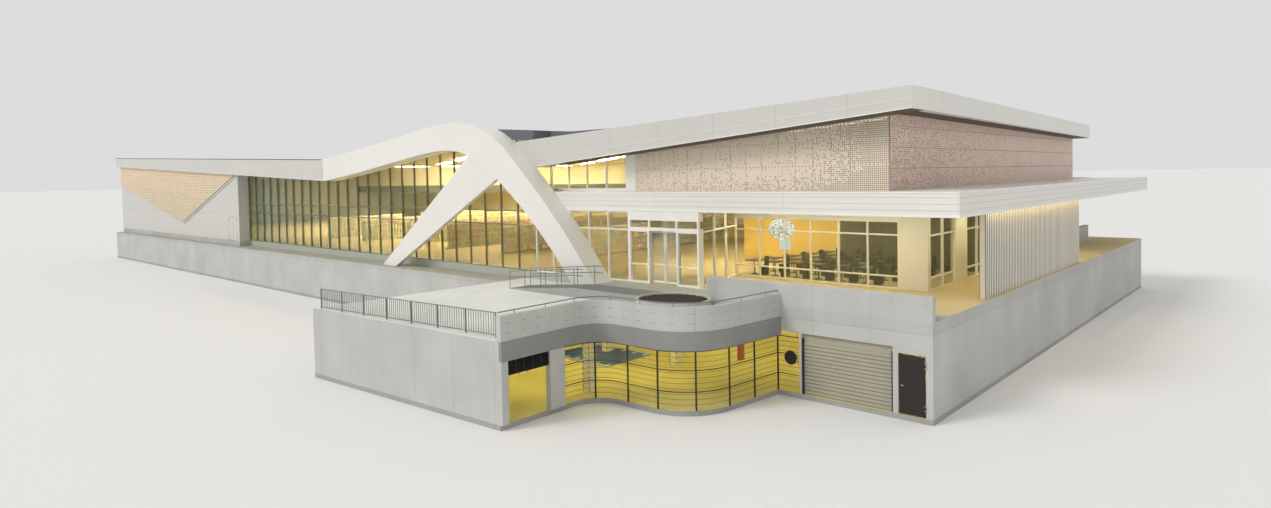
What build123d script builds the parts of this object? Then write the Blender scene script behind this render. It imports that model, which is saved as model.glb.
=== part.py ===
from build123d import *
import os

os.makedirs("parts", exist_ok=True)

# A long, low supermarket as a scale model at 1:10, so that 100 mm here is 1 m of the building.
# X runs along the front to the right, Y into the depth and Z up. The origin is under the middle.

# Lengths along the front, from left to right
roof_end_overhang = 60.0
wing_length = 3730.0
curtain_length = 4070.0
link_length = 715.0
vestibule_width = 440.0
cafe_length = 735.0
corner_wall_width = 130.0
side_canopy_reach = 310.0

# Depths, from the terrace edge to the back wall
terrace_depth = 1235.0
hall_depth = 3010.0
rear_store_depth = 790.0
arch_depth = 125.0
ledge_depth = 165.0
ledge_bearing = 40.0
wing_step = 90.0
upper_setback = 120.0
cafe_recess = 500.0
cafe_splay = 133.0
rear_recess = 300.0

# Heights, and what is as thick as what
garage_height = 360.0
floor_thickness = 45.0
ledge_thickness = 30.0
ground_slab_thickness = 20.0
wall_thickness = 25.0
podium_wall_thickness = 30.0
roof_thickness = 30.0
canopy_underside = 355.0
canopy_thickness = 95.0
slab_inset = 35.0

# Roof band: its height above the store floor at the left end and at the fold
band_top_left = 872.0
band_bottom_left = 762.0
band_top_fold = 698.0
band_bottom_fold = 535.0
fold_from_foot = 2880.0

# Arch: its outer line crosses the store floor this far left of the vestibule, and each point of
# its curves is a distance left of there and a height above the floor. The feet stand on the ledge.
foot_gap = 135.0
arch_top_curve = [(2880.0, 698.0), (2470.0, 740.0), (1960.0, 792.0), (1440.0, 855.0), (1230.0, 870.0),
                  (1030.0, 851.0), (830.0, 787.0), (560.0, 584.0), (230.0, 270.0)]
arch_foot = (-38.0, 138.0)
arch_leg_inside = [(430.0, 265.0), (770.0, 530.0)]
arch_crook = (1040.0, 670.0)
arch_band_inside = [(1230.0, 704.0), (1440.0, 698.0), (1795.0, 659.0), (2295.0, 596.0), (2620.0, 560.0),
                    (2880.0, 535.0)]
left_leg_foot = (1898.0, 2064.0)
left_leg_setback = 10.0
left_leg_depth = 30.0

# Roof plates: heights of their top above the store floor
roof_left_height = 845.0
roof_fold_height = 672.0
roof_rise = (1810.0, 800.0)
roof_hump = (1230.0, 842.0)
roof_hump_end = (260.0, 773.0)
roof_right_height = 785.0

# Fascia over the upper walls, which laps over the glass as far as the arch
fascia_lap = 245.0
fascia_skin = 4.0
fascia_overhang = 140.0
fascia_overhang_back = 103.0
fascia_top_start = 744.0
fascia_bottom_start = 588.0
fascia_top_corner = 845.0
fascia_bottom_corner = 760.0
fascia_top_back = 805.0
fascia_bottom_back = 722.0

# Cladding of the upper walls and of the left wing
cladding_thickness = 4.0
column_width = 67.0
column_from_vestibule = 53.0
upper_sill = 10.0
triangle_apex_x = 2240.0
triangle_apex_height = 130.0
triangle_left_height = 530.0
triangle_edge_gap = 20.0

# Glazing
bay = 154.0
frame_depth = 12.0
frame_width = 6.0
glass_thickness = 3.0
cafe_bays = 6
side_bay = 155.0
transom_low = 260.0
transom_high = 340.0
cafe_sill = 56.0
cafe_transom = 242.0
glass_head_gap = 50.0

# Vestibule and its sliding doors
post_width = 10.0
door_opening = 172.0
bar_height = 260.0
bar_thickness = 15.0
head_height = 310.0
head_depth = 36.0
mid_rail = 90.0
vestibule_side_bays = 3
leaf_thickness = 8.0
leaf_stile = 5.0
leaf_bottom_rail = 10.0
door_clearance = 5.0
meeting_gap = 2.5
running_gap = 0.3
door_travel = 78.0

# Service doors in the left wing and garage door, all hinged
service_leaf_width = 90.0
door_height = 210.0
service_door_from_pier = 55.0
hinged_leaf_thickness = 6.0
garage_door_width = 90.0
pin_radius = 1.2
pin_gap = 0.3
barrel_radius = 2.6
barrel_length = 10.0
lug_length = 4.0
strap_length = 10.4
hinge_inset = 30.0

# Side front: glass, column, glass and the ribbed screen wall
side_glass_first = 335.0
side_column_width = 145.0
side_glass_second = 1055.0
screen_wall_inset = 55.0
screen_wall_thickness = 20.0
screen_wall_start = 60.0
screen_wall_length = 1570.0
low_wall_length = 470.0
low_wall_height = 110.0

# Terrace: a slanting front edge, then a curved edge on the right
terrace_left_from_foot = 685.0
terrace_front_slant = 80.0
terrace_front_length = 1260.0
curve_first = (-10.0, 485.0)
curve_second = (480.0, 10.0)
curve_last = 50.0
curve_radii = (125.0, 215.0)
parapet_height = 91.0
parapet_thickness = 25.0
edge_beam_height = 70.0
edge_beam_thickness = 30.0
planter_wall_length = 973.0
planter_wall_height = 90.0
railing_from_left = 40.0
railing_from_edge = 20.0
railing_length = 1150.0
railing_slant = 105.0
railing_height = 92.0
railing_low_rail = 8.0
railing_post = 4.0
railing_post_count = 8
railing_rail = 3.0

# Entrance: a landing level with the store floor, and a ramp down to the terrace
landing_from_foot = 60.0
landing_length = 450.0
ramp_length = 500.0
ramp_width = 150.0

# Garage level; the columns stand in rows, placed from the arch's foot and from the ledge
column_side = 40.0
column_places = (-392.0, 50.0, 492.0)
column_rows_under_ledge = (-510.0, 40.0)
column_row_under_floor = 755.0
screen_post = 5.0
screen_post_count = 8
screen_rail = 3.0
screen_rail_heights = (90.0, 170.0, 240.0)
screen_bay = 80.0
shutter_post = 10.0
shutter_width = 370.0
shutter_height = 240.0
shutter_thickness = 8.0
door_from_shutter = 20.0
corner_wall_length = 305.0
vent_from_corner = 30.0
vent_length = 200.0
vent_height = 55.0

# Places along X
total_length = (roof_end_overhang + wing_length + curtain_length + link_length + vestibule_width
                + cafe_length + corner_wall_width + side_canopy_reach)
x_roof_left = -total_length / 2
x_left = x_roof_left + roof_end_overhang
x_pier = x_left + wing_length
x_curtain_end = x_pier + curtain_length
x_vestibule = x_curtain_end + link_length
x_cafe = x_vestibule + vestibule_width
x_corner = x_cafe + cafe_length
x_hall = x_corner + corner_wall_width
x_canopy = x_hall + side_canopy_reach
x_foot = x_vestibule - foot_gap
x_fold = x_foot - fold_from_foot
x_terrace = x_foot - terrace_left_from_foot
x_landing = x_foot + landing_from_foot
x_slab_right = x_canopy - slab_inset
x_fascia = x_hall + fascia_overhang
x_rear = x_hall - rear_recess

# Places along Y
total_depth = terrace_depth + hall_depth + rear_store_depth
y_terrace = -total_depth / 2
y_glass = y_terrace + terrace_depth
y_inside = y_glass + frame_depth + glass_thickness
y_hall_back = y_glass + hall_depth
y_back = y_hall_back + rear_store_depth
y_arch = y_glass - arch_depth
y_ledge = y_glass - ledge_depth
y_bearing = y_glass + ledge_bearing
y_wing = y_glass - wing_step
y_upper = y_glass + upper_setback
y_cafe = y_glass + cafe_recess

# Places along Z
z_store = garage_height
z_terrace = z_store - floor_thickness
z_ledge = z_terrace - ledge_thickness
z_beam = z_terrace - edge_beam_height
z_canopy = z_store + canopy_underside
z_canopy_top = z_canopy + canopy_thickness


def block(x, y, z):
    """A box between low and high X, Y and Z."""
    sides = (x[1] - x[0], y[1] - y[0], z[1] - z[0])
    corner = (Align.MIN, Align.MIN, Align.MIN)
    return Pos(x[0], y[0], z[0]) * Box(*sides, align=corner)


def upright_plate(outline, y):
    """A plate standing along X: an outline of X, Z points between two Y."""
    corners = [Vector(px, y[0], pz) for px, pz in outline]
    face = Face(Wire.make_polygon(corners, close=True))
    return extrude(face, amount=y[1] - y[0], dir=(0, 1, 0))


def level_plate(outline, z):
    """A plate lying level: an outline of X, Y points between two Z."""
    corners = [Vector(px, py, z[0]) for px, py in outline]
    face = Face(Wire.make_polygon(corners, close=True))
    return extrude(face, amount=z[1] - z[0], dir=(0, 0, 1))


def between(start, end, x):
    """The height at x on the straight line from start to end."""
    share = (x - start[0]) / (end[0] - start[0])
    return start[1] + share * (end[1] - start[1])


def save(node, shape):
    export_step(shape, "parts/" + node + ".step")


# Roof, as one line of heights from left to right
roof_line = [
    (x_left, z_store + roof_left_height),
    (x_fold, z_store + roof_fold_height),
    (x_foot - roof_rise[0], z_store + roof_rise[1]),
    (x_foot - roof_hump[0], z_store + roof_hump[1]),
    (x_foot - roof_hump_end[0], z_store + roof_hump_end[1]),
    (x_hall, z_store + roof_right_height),
]


def roof_top(x):
    """The height of the roof's top at x."""
    for start, end in zip(roof_line, roof_line[1:]):
        if x <= end[0]:
            return between(start, end, x)
    return roof_line[-1][1]


def roof_points(x, drop):
    """The roof's top line between two X, lowered by drop."""
    bends = [point[0] for point in roof_line if x[0] < point[0] < x[1]]
    return [(place, roof_top(place) - drop) for place in [x[0], *bends, x[1]]]


def roof_plate(x, y):
    """One stretch of the roof between two X and two Y."""
    under = roof_points(x, roof_thickness)
    over = roof_points(x, 0.0)
    return upright_plate(under + over[::-1], y)


def wall_to_roof(x, y, foot):
    """A wall that stands at the height foot and reaches the roof's underside."""
    head = roof_points(x, roof_thickness)
    return upright_plate([(x[0], foot), (x[1], foot)] + head[::-1], y)


# Lines of the roof band and of the fascia
band_top = [(x_roof_left, z_store + band_top_left), (x_fold, z_store + band_top_fold)]
band_bottom = [(x_roof_left, z_store + band_bottom_left), (x_fold, z_store + band_bottom_fold)]
fascia_top = [(x_curtain_end, z_store + fascia_top_start), (x_fascia, z_store + fascia_top_corner)]
fascia_bottom = [(x_curtain_end, z_store + fascia_bottom_start), (x_fascia, z_store + fascia_bottom_corner)]


def arch_point(point):
    """A point of the arch, from its distance left of the foot and its height."""
    return Vector(x_foot - point[0], y_arch, z_store + point[1])


def make_arch():
    outer_foot, inner_foot = [(distance, -floor_thickness) for distance in arch_foot]
    outer = Spline(*[arch_point(point) for point in [*arch_top_curve, outer_foot]])
    foot = Line(arch_point(outer_foot), arch_point(inner_foot))
    leg = Spline(*[arch_point(point) for point in [inner_foot, *arch_leg_inside]])
    crook = Line(arch_point(arch_leg_inside[-1]), arch_point(arch_crook))
    under = Spline(*[arch_point(point) for point in [arch_crook, *arch_band_inside]])
    end = Line(arch_point(arch_band_inside[-1]), arch_point(arch_top_curve[0]))
    face = Face(Wire([outer.edge(), foot.edge(), leg.edge(), crook.edge(), under.edge(), end.edge()]))
    arch = extrude(face, amount=arch_depth, dir=(0, 1, 0))
    save("arch", arch)
    near, far = left_leg_foot
    outline = [arch_leg_inside[-1], arch_crook, (far, -floor_thickness), (near, -floor_thickness)]
    points = [(x_foot - point[0], z_store + point[1]) for point in outline]
    y_leg = y_arch + left_leg_setback
    save("arch_left_leg", upright_plate(points, (y_leg, y_leg + left_leg_depth)))
    return arch


def make_roof(arch):
    band = upright_plate(band_bottom + band_top[::-1], (y_arch, y_glass))
    save("roof_band", band)
    save("main_roof", roof_plate((x_left, x_curtain_end), (y_glass, y_hall_back)))
    save("right_roof", roof_plate((x_curtain_end, x_hall), (y_upper, y_hall_back)))
    x_lap = x_curtain_end - fascia_lap
    lap_bottom = (x_lap, between(*fascia_bottom, x_lap))
    lap_top = (x_lap, between(*fascia_top, x_lap))
    skin = upright_plate([lap_bottom, fascia_bottom[1], fascia_top[1], lap_top], (y_glass - fascia_skin, y_glass))
    fascia = upright_plate(fascia_bottom + fascia_top[::-1], (y_glass, y_upper))
    save("right_fascia", fascia + (skin - arch))
    side_outline = [
        (y_upper, z_store + fascia_bottom_corner),
        (y_hall_back, z_store + fascia_bottom_back),
        (y_hall_back, z_store + fascia_top_back),
        (y_upper, z_store + fascia_top_corner),
    ]
    corners = [Vector(x_hall, py, pz) for py, pz in side_outline]
    side = extrude(Face(Wire.make_polygon(corners, close=True)), amount=fascia_overhang, dir=(1, 0, 0))
    x_back = x_hall + fascia_overhang_back
    plan = [(x_hall, y_upper), (x_fascia, y_upper), (x_back, y_hall_back), (x_hall, y_hall_back)]
    save("side_fascia", side & level_plate(plan, (z_store, z_store + fascia_top_corner)))
    return band


def bars(along, z, count, rails, depth):
    """A flat frame standing along X from 0: uprights at even bays and level rails."""
    half = frame_width / 2
    step = (along - frame_width) / count
    frame = block((0.0, along), (0.0, depth), (z[0], z[0] + frame_width))
    frame += block((0.0, along), (0.0, depth), (z[1] - frame_width, z[1]))
    for number in range(count + 1):
        middle = half + number * step
        frame += block((middle - half, middle + half), (0.0, depth), z)
    for height in rails:
        frame += block((0.0, along), (0.0, depth), (height - half, height + half))
    return frame


def window_wall(along, z, count, rails):
    """A frame and the sheet of glass behind it, standing along X from 0."""
    frame = bars(along, z, count, rails, frame_depth)
    glass = block((0.0, along), (frame_depth, frame_depth + glass_thickness), z)
    return frame, glass


def make_curtain():
    x = (x_pier, x_curtain_end)
    crown = z_store + roof_hump[1]
    count = round((x[1] - x[0]) / bay)
    rails = [z_store + transom_low, z_store + transom_high]
    frame = Pos(x[0], y_glass, 0) * bars(x[1] - x[0], (z_store, crown), count, rails, frame_depth)
    outline = wall_to_roof(x, (y_glass, y_glass + frame_depth), z_store)
    save("main_frame", frame & outline)
    save("main_glass", wall_to_roof(x, (y_glass + frame_depth, y_inside), z_store))
    save("main_plinth", block((x_pier, x_landing), (y_glass, y_inside), (z_terrace, z_store)))


def make_wing(band):
    y = (y_wing, y_wing + wall_thickness)
    door_width = 2 * service_leaf_width + meeting_gap * 2 + 2 * door_clearance
    door = (x_pier - service_door_from_pier - door_width, x_pier - service_door_from_pier)
    lintel = z_store + door_height + 2 * door_clearance

    def wing_piece(x, foot):
        head = [(place, between(*band_bottom, place)) for place in x]
        return upright_plate([(x[0], foot), (x[1], foot)] + head[::-1], y)

    save("left_wing_wall", wing_piece((x_left, door[0]), z_store))
    save("service_lintel", wing_piece(door, lintel))
    pier = wing_piece((door[1], x_pier), z_store)
    pier_top = between(*band_bottom, x_pier)
    pier += block((x_pier - wall_thickness, x_pier), (y[1], y_glass), (z_store, pier_top))
    save("pier_wall", pier)
    right_top = x_pier - triangle_edge_gap
    outline = [
        (x_left, z_store + triangle_left_height),
        (x_left + triangle_apex_x, z_store + triangle_apex_height),
        (right_top, between(*band_bottom, right_top)),
        (x_left, between(*band_bottom, x_left)),
    ]
    save("triangle_panel", upright_plate(outline, (y_wing - cladding_thickness, y_wing)))
    x = (x_left, x_left + wall_thickness)
    y_last = y_hall_back - wall_thickness
    end = wall_to_roof(x, (y[1], y_last), z_store) - band
    end += block(x, (y_last, y_back - wall_thickness), (z_store, z_canopy))
    save("left_end_wall", end)
    return door


def place_on_side(x, y, shape):
    """Turn a piece that stands along X so that it stands along Y and faces right."""
    return Pos(x, y, 0) * Rot(0, 0, 90) * shape


def make_upper_walls():
    """The walls over the canopies; returns the frames and panes of the upper windows."""
    y = (y_upper, y_upper + wall_thickness)
    column = (x_vestibule - column_from_vestibule - column_width, x_vestibule - column_from_vestibule)
    save("upper_column", wall_to_roof(column, y, z_canopy_top))
    save("front_cladding", wall_to_roof((column[1], x_hall), y, z_canopy_top))
    inner = x_hall - wall_thickness
    save("side_cladding", wall_to_roof((inner, x_hall), (y[1], y_hall_back), z_canopy_top))
    back = (y_hall_back - wall_thickness, y_hall_back)
    save("back_wall", wall_to_roof((x_left, inner), back, z_canopy_top))
    x = (x_curtain_end, column[0])
    foot = z_canopy_top + upper_sill
    count = round((x[1] - x[0]) / bay)
    frame = Pos(x[0], y_upper, 0) * bars(x[1] - x[0], (foot, roof_top(x[0])), count, [], frame_depth)
    outline = wall_to_roof(x, (y_upper, y_upper + frame_depth), z_canopy_top)
    sill = block(x, (y_upper, y_upper + frame_depth), (z_canopy_top, foot + frame_width))
    behind = (y_upper + frame_depth, y_upper + frame_depth + glass_thickness)
    z = (z_canopy, roof_top(x_curtain_end) - roof_thickness)
    side_frame, side_glass = window_wall(upper_setback, z, 1, [])
    frames = [(frame + sill) & outline, place_on_side(x_curtain_end, y_inside, side_frame)]
    panes = [wall_to_roof(x, behind, z_canopy_top), place_on_side(x_curtain_end, y_inside, side_glass)]
    return frames, panes


def make_canopy():
    z = (z_canopy, z_canopy_top)
    y_split = y_cafe + wall_thickness
    inner = x_hall - wall_thickness
    save("front_canopy", block((x_curtain_end, x_canopy), (y_glass, y_split), z))
    save("side_canopy", block((inner, x_canopy), (y_split, y_back), z))
    save("rear_store_roof", block((x_left, inner), (y_hall_back - wall_thickness, y_back), z))


# Entrance: two fixed screens, a head over them, and two leaves that slide behind the screens
x_open = (x_vestibule + (vestibule_width - door_opening) / 2, x_vestibule + (vestibule_width + door_opening) / 2)
x_meet = (x_open[0] + x_open[1]) / 2
y_leaf = y_inside + door_clearance
z_bar = z_store + bar_height
z_head = z_store + head_height


def screen(x):
    """A fixed side screen of the entrance between two X, with its two posts."""
    y = (y_glass, y_glass + frame_depth)
    z = (z_store, z_bar)
    frame = block((x[0], x[0] + post_width), y, z) + block((x[1] - post_width, x[1]), y, z)
    frame += block(x, y, (z_store, z_store + post_width))
    frame += block(x, y, (z_store + mid_rail, z_store + mid_rail + frame_width))
    frame += block(x, y, (z_bar - frame_width, z_bar))
    return frame


def make_entrance():
    right = screen((x_open[1], x_cafe))
    right += block((x_cafe - post_width, x_cafe), (y_glass, y_glass + head_depth), (z_store, z_bar))
    save("vestibule_screens", Compound([screen((x_vestibule, x_open[0])).solid(), right.solid()]))
    x = (x_vestibule, x_cafe)
    head = block(x, (y_glass, y_glass + head_depth), (z_bar, z_bar + bar_thickness))
    head += block(x, (y_glass, y_glass + head_depth), (z_head, z_canopy))
    for middle in (x_vestibule + post_width / 2, x_open[0], x_open[1], x_cafe - post_width / 2):
        post = (middle - post_width / 2, middle + post_width / 2)
        head += block(post, (y_glass, y_glass + frame_depth), (z_bar, z_canopy))
    save("vestibule_head", head)


def sliding_leaf(x):
    """A glazed leaf between two X, hung from the head by two hangers."""
    y = (y_leaf, y_leaf + leaf_thickness)
    z = (z_store + door_clearance, z_bar - door_clearance)
    hole = block((x[0] + leaf_stile, x[1] - leaf_stile), y, (z[0] + leaf_bottom_rail, z[1] - leaf_stile))
    frame = block(x, y, z) - hole
    for side in (x[0] + leaf_bottom_rail, x[1] - leaf_bottom_rail - leaf_stile):
        frame += block((side, side + leaf_stile), y, (z[1], z_bar - running_gap))
    middle = (y[0] + y[1]) / 2
    pane_x = (x[0] + leaf_stile + running_gap, x[1] - leaf_stile - running_gap)
    pane_z = (z[0] + leaf_bottom_rail + running_gap, z[1] - leaf_stile - running_gap)
    pane = block(pane_x, (middle - glass_thickness / 2, middle + glass_thickness / 2), pane_z)
    return Compound([frame.solid(), pane.solid()])


def make_leaves():
    left = (x_open[0] - leaf_stile, x_meet - meeting_gap)
    right = (x_meet + meeting_gap, x_open[1] + leaf_stile)
    for name, x in (("left", left), ("right", right)):
        save(name + "_leaf", sliding_leaf(x))


def slanted_screen(z, rails):
    """The entrance's glazed right side, which slants back to the cafe front."""
    run = Vector(-cafe_splay, cafe_recess - head_depth)
    spare = frame_depth + glass_thickness
    along = run.length + 2 * spare
    turn = Vector(1, 0).get_signed_angle(run, Vector(0, 0, 1))
    placed = Pos(x_cafe, y_glass + head_depth, 0) * Rot(0, 0, turn) * Pos(-spare, 0, 0)
    limits = block((x_vestibule, x_corner), (y_glass + head_depth, y_cafe), z)
    return [(placed * piece) & limits for piece in window_wall(along, z, vestibule_side_bays, rails)]


def make_windows(upper_frames, upper_panes):
    z = (z_store, z_canopy)
    high = z_store + bar_height
    rails = [z_store + cafe_sill, z_store + cafe_transom]
    back = frame_depth + glass_thickness
    frames = list(upper_frames)
    panes = list(upper_panes)

    def add(frame, pane, where):
        frames.append(where * frame)
        panes.append(where * pane)

    add(*window_wall(link_length, z, round(link_length / bay), [high]), Pos(x_curtain_end, y_glass, 0))
    add(*slanted_screen(z, [high]), Pos(0, 0, 0))
    cafe_z = (z_store, z_canopy - glass_head_gap)
    cafe_x = x_cafe - cafe_splay - back
    cafe_frame, cafe_glass = window_wall(x_corner - cafe_x, cafe_z, cafe_bays, rails)
    cafe_frame += block((0.0, x_corner - cafe_x), (0.0, frame_depth), (cafe_z[1], z_canopy))
    add(cafe_frame, cafe_glass, Pos(cafe_x, y_cafe, 0))
    turned = Rot(0, 0, 90)
    first = side_glass_first - wall_thickness
    second = side_glass_second
    y_second = y_cafe + side_glass_first + side_column_width
    add(*window_wall(first, z, round(first / side_bay), rails), Pos(x_hall, y_cafe + wall_thickness, 0) * turned)
    add(*window_wall(second, z, round(second / side_bay), rails), Pos(x_hall, y_second, 0) * turned)
    y = (y_glass + frame_depth, y_inside)
    panes += [block((x_vestibule, x_open[0]), y, (z_store, z_bar))]
    panes += [block((x_open[1], x_cafe - post_width), y, (z_store, z_bar))]
    panes += [block((x_vestibule, x_cafe), y, (z_bar + bar_thickness, z_head))]
    save("window_frames", Compound([frame.solid() for frame in frames]))
    save("window_glass", Compound([pane.solid() for pane in panes]))


def make_side_walls():
    z = (z_store, z_canopy)
    x = (x_hall - wall_thickness, x_hall)
    y_column = y_cafe + side_glass_first
    y_wall = y_column + side_column_width + side_glass_second
    y_last = y_hall_back - wall_thickness
    save("corner_wall", block((x_corner, x_hall), (y_cafe, y_cafe + wall_thickness), z))
    stretches = ((y_column, y_column + side_column_width), (y_wall, y_last))
    save("side_walls", Compound([block(x, y, z).solid() for y in stretches]))
    outer = x_canopy - screen_wall_inset
    y_screen = y_cafe - screen_wall_start
    save("screen_wall", block((outer - screen_wall_thickness, outer), (y_screen, y_screen + screen_wall_length), z))
    rear = block((x_left, x_rear), (y_back - wall_thickness, y_back), z)
    rear += block((x_rear - wall_thickness, x_rear), (y_last, y_back), z)
    rear += block((x_rear, x_hall), (y_last, y_hall_back), z)
    save("rear_store_walls", rear)
    low = (z_store, z_store + low_wall_height)
    save("rear_low_wall", block(x, (y_hall_back, y_hall_back + low_wall_length), low))


# Hinged leaves: side is 1 where the leaf lies right of its hinge and -1 where it lies left
leaf_gap = door_clearance / 2


def barrel_on(x, y, z, radius, length):
    return Pos(x, y - barrel_radius, z) * Cylinder(radius, length)


def strap(x, side, y, z, length):
    """A flat hinge strap on the face at y, from the pin's axis towards side."""
    ends = sorted((x, x + side * strap_length))
    return block(ends, (y - pin_radius, y), (z - length / 2, z + length / 2))


def fixed_hinge(x, side, y, z):
    """The pin with a lug at each end, and the lugs' straps on the wall beside the leaf."""
    reach = barrel_length / 2 + pin_gap + lug_length / 2
    hinge = barrel_on(x, y, z, pin_radius, 2 * reach + lug_length)
    for end in (-reach, reach):
        hinge += barrel_on(x, y, z + end, 1.5 * pin_radius, lug_length)
        hinge += strap(x, -side, y, z + end, lug_length)
    return hinge


def hinge_heights(foot):
    return foot + hinge_inset, foot + door_height - hinge_inset


def hinged_leaf(x, side, y, width, foot):
    """A flush leaf hung at x, with its barrels round the pins."""
    edges = sorted((x + side * leaf_gap, x + side * (leaf_gap + width)))
    leaf = block(edges, (y, y + hinged_leaf_thickness), (foot, foot + door_height))
    for z in hinge_heights(foot):
        leaf += barrel_on(x, y, z, barrel_radius, barrel_length) + strap(x, side, y, z, barrel_length)
        leaf -= barrel_on(x, y, z, pin_radius + pin_gap, barrel_length)
    return leaf


def make_service_doors(door):
    foot = z_store + door_clearance
    hinges = []
    for name, x, side in (("left", door[0] + leaf_gap, 1), ("right", door[1] - leaf_gap, -1)):
        save("service_" + name + "_leaf", hinged_leaf(x, side, y_wing, service_leaf_width, foot))
        hinges += [fixed_hinge(x, side, y_wing, z) for z in hinge_heights(foot)]
    return hinges


# Terrace: its curved edge, from the end of the front edge to the ledge of the building
half_beam = edge_beam_thickness / 2
edge_start = (x_terrace + terrace_front_length, y_terrace + terrace_front_slant)
edge_first = (edge_start[0] + curve_first[0], edge_start[1] + curve_first[1])
edge_second = (edge_first[0] + curve_second[0], edge_first[1] + curve_second[1])
edge_end = (edge_second[0] + curve_last, y_ledge)
y_beyond = y_ledge + edge_beam_thickness
edge_beyond = (between(edge_second[::-1], edge_end[::-1], y_beyond), y_beyond)
edge_angle = Vector(*curve_first).get_signed_angle(Vector(1, 0), Vector(0, 0, -1))
behind_ledge = block((x_terrace, x_slab_right), (y_ledge, y_glass), (0.0, z_canopy))


def edge_path(z):
    points = [(px, py, z) for px, py in (edge_start, edge_first, edge_second, edge_beyond)]
    return FilletPolyline(*points, radius=list(curve_radii))


def along_edge(width, z):
    """A band of the given width that follows the curved edge between two Z."""
    path = edge_path(z[0])
    profile = Plane(origin=path @ 0, z_dir=path % 0, x_dir=(0, 0, 1))
    height = z[1] - z[0]
    section = profile * Pos(height / 2, 0) * Rectangle(height, width)
    return sweep(section, path=path) - behind_ledge


def straight_on_edge(span, width, z):
    """A straight wall on the first stretch of the curved edge, between two distances along it."""
    wall = block(span, (-width / 2, width / 2), z)
    return Pos(*edge_start, 0) * Rot(0, 0, edge_angle) * wall


def terrace_plate(z):
    """A plate of the terrace's plan, in front of the ledge, between two Z."""
    curve = edge_path(z[0])
    front_left = Vector(x_terrace, y_terrace, z[0])
    back_left = Vector(x_terrace, y_beyond, z[0])
    edges = [Line(back_left, front_left).edge(), Line(front_left, curve @ 0).edge(), *curve.edges()]
    edges += [Line(curve @ 1, back_left).edge()]
    return extrude(Face(Wire(edges)), amount=z[1] - z[0], dir=(0, 0, 1)) - behind_ledge


def make_terrace():
    beam = along_edge(edge_beam_thickness, (z_beam, z_terrace))
    save("terrace_edge_beam", beam)
    parapet = along_edge(parapet_thickness, (z_terrace, z_terrace + parapet_height))
    x = (x_slab_right - planter_wall_length, x_slab_right)
    parapet += block(x, (y_ledge, y_ledge + parapet_thickness), (z_store, z_store + planter_wall_height))
    save("terrace_parapet", parapet)
    slab = terrace_plate((z_ledge, z_terrace)) - beam
    slab += block((x_terrace, edge_end[0] - half_beam), (y_ledge, y_bearing), (z_ledge, z_terrace))
    save("terrace_slab", slab)
    save("terrace_ground_slab", terrace_plate((0.0, ground_slab_thickness)))
    wall = straight_on_edge((0.0, corner_wall_length), parapet_thickness, (ground_slab_thickness, z_beam))
    vent = (vent_from_corner, vent_from_corner + vent_length)
    gap = straight_on_edge(vent, edge_beam_thickness, (ground_slab_thickness, z_beam))
    save("terrace_corner_walls", Compound((wall - gap).solids()))
    save("vent_grille", straight_on_edge(vent, leaf_thickness, (z_beam - vent_height, z_beam)))
    inside = x_terrace + podium_wall_thickness
    y_front = between((x_terrace, y_terrace), edge_start, inside)
    outline = [(inside, y_front), edge_start, (edge_start[0], edge_start[1] + podium_wall_thickness),
               (inside, y_front + podium_wall_thickness)]
    z = (ground_slab_thickness, z_ledge)
    save("terrace_front_wall", level_plate(outline, z) - beam - wall)
    outline = [(x_terrace, y_terrace), (inside, y_front), (inside, y_ledge), (x_terrace, y_ledge)]
    save("terrace_left_wall", level_plate(outline, z))
    garage_screen(wall)


def garage_screen(wall):
    """Posts and rails that follow the curved edge and end in a straight bay beside the shutter."""
    path = edge_path(ground_slab_thickness)
    z = (ground_slab_thickness, z_beam)
    total = sum(edge.length for edge in path.edges()) - edge_beam_thickness
    start = corner_wall_length + screen_post / 2
    step = (total - screen_post / 2 - start) / (screen_post_count - 1)
    half = screen_rail / 2
    bay_x = (edge_end[0] - half, edge_end[0] + half_beam + screen_bay)
    frame = None
    for height in screen_rail_heights:
        rail_z = (height - half, height + half)
        rail = along_edge(screen_rail, rail_z) - wall
        rail += block(bay_x, (y_ledge, y_ledge + screen_rail), rail_z)
        frame = rail if frame is None else frame + rail
    for number in range(screen_post_count):
        foot = path.position_at(start + number * step, position_mode=PositionMode.LENGTH)
        frame += Pos(foot.X, foot.Y, (z[0] + z[1]) / 2) * Box(screen_post, screen_post, z[1] - z[0])
    save("garage_screen", frame - wall)


def make_railing():
    """Posts and two rails behind the slanting front edge of the terrace."""
    run = Vector(railing_length, railing_slant)
    half = railing_post / 2
    step = (run.length - railing_post) / (railing_post_count - 1)
    y = (-railing_rail / 2, railing_rail / 2)
    top = z_terrace + railing_height
    low = z_terrace + railing_low_rail
    railing = block((0.0, run.length), y, (top - railing_rail, top))
    railing += block((0.0, run.length), y, (low, low + railing_rail))
    for number in range(railing_post_count):
        middle = half + number * step
        railing += block((middle - half, middle + half), (-half, half), (z_terrace, top))
    turn = Vector(1, 0).get_signed_angle(run, Vector(0, 0, 1))
    start = (x_terrace + railing_from_left, y_terrace + railing_from_edge)
    save("terrace_railing", Pos(*start, 0) * Rot(0, 0, turn) * railing)


def make_ramp():
    """The landing at the entrance and the ramp that falls from it to the left."""
    x_end = x_landing + landing_length
    outline = [(x_landing - ramp_length, z_terrace), (x_end, z_terrace), (x_end, z_store), (x_landing, z_store)]
    save("entrance_ramp", upright_plate(outline, (y_ledge - ramp_width, y_ledge)))


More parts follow.
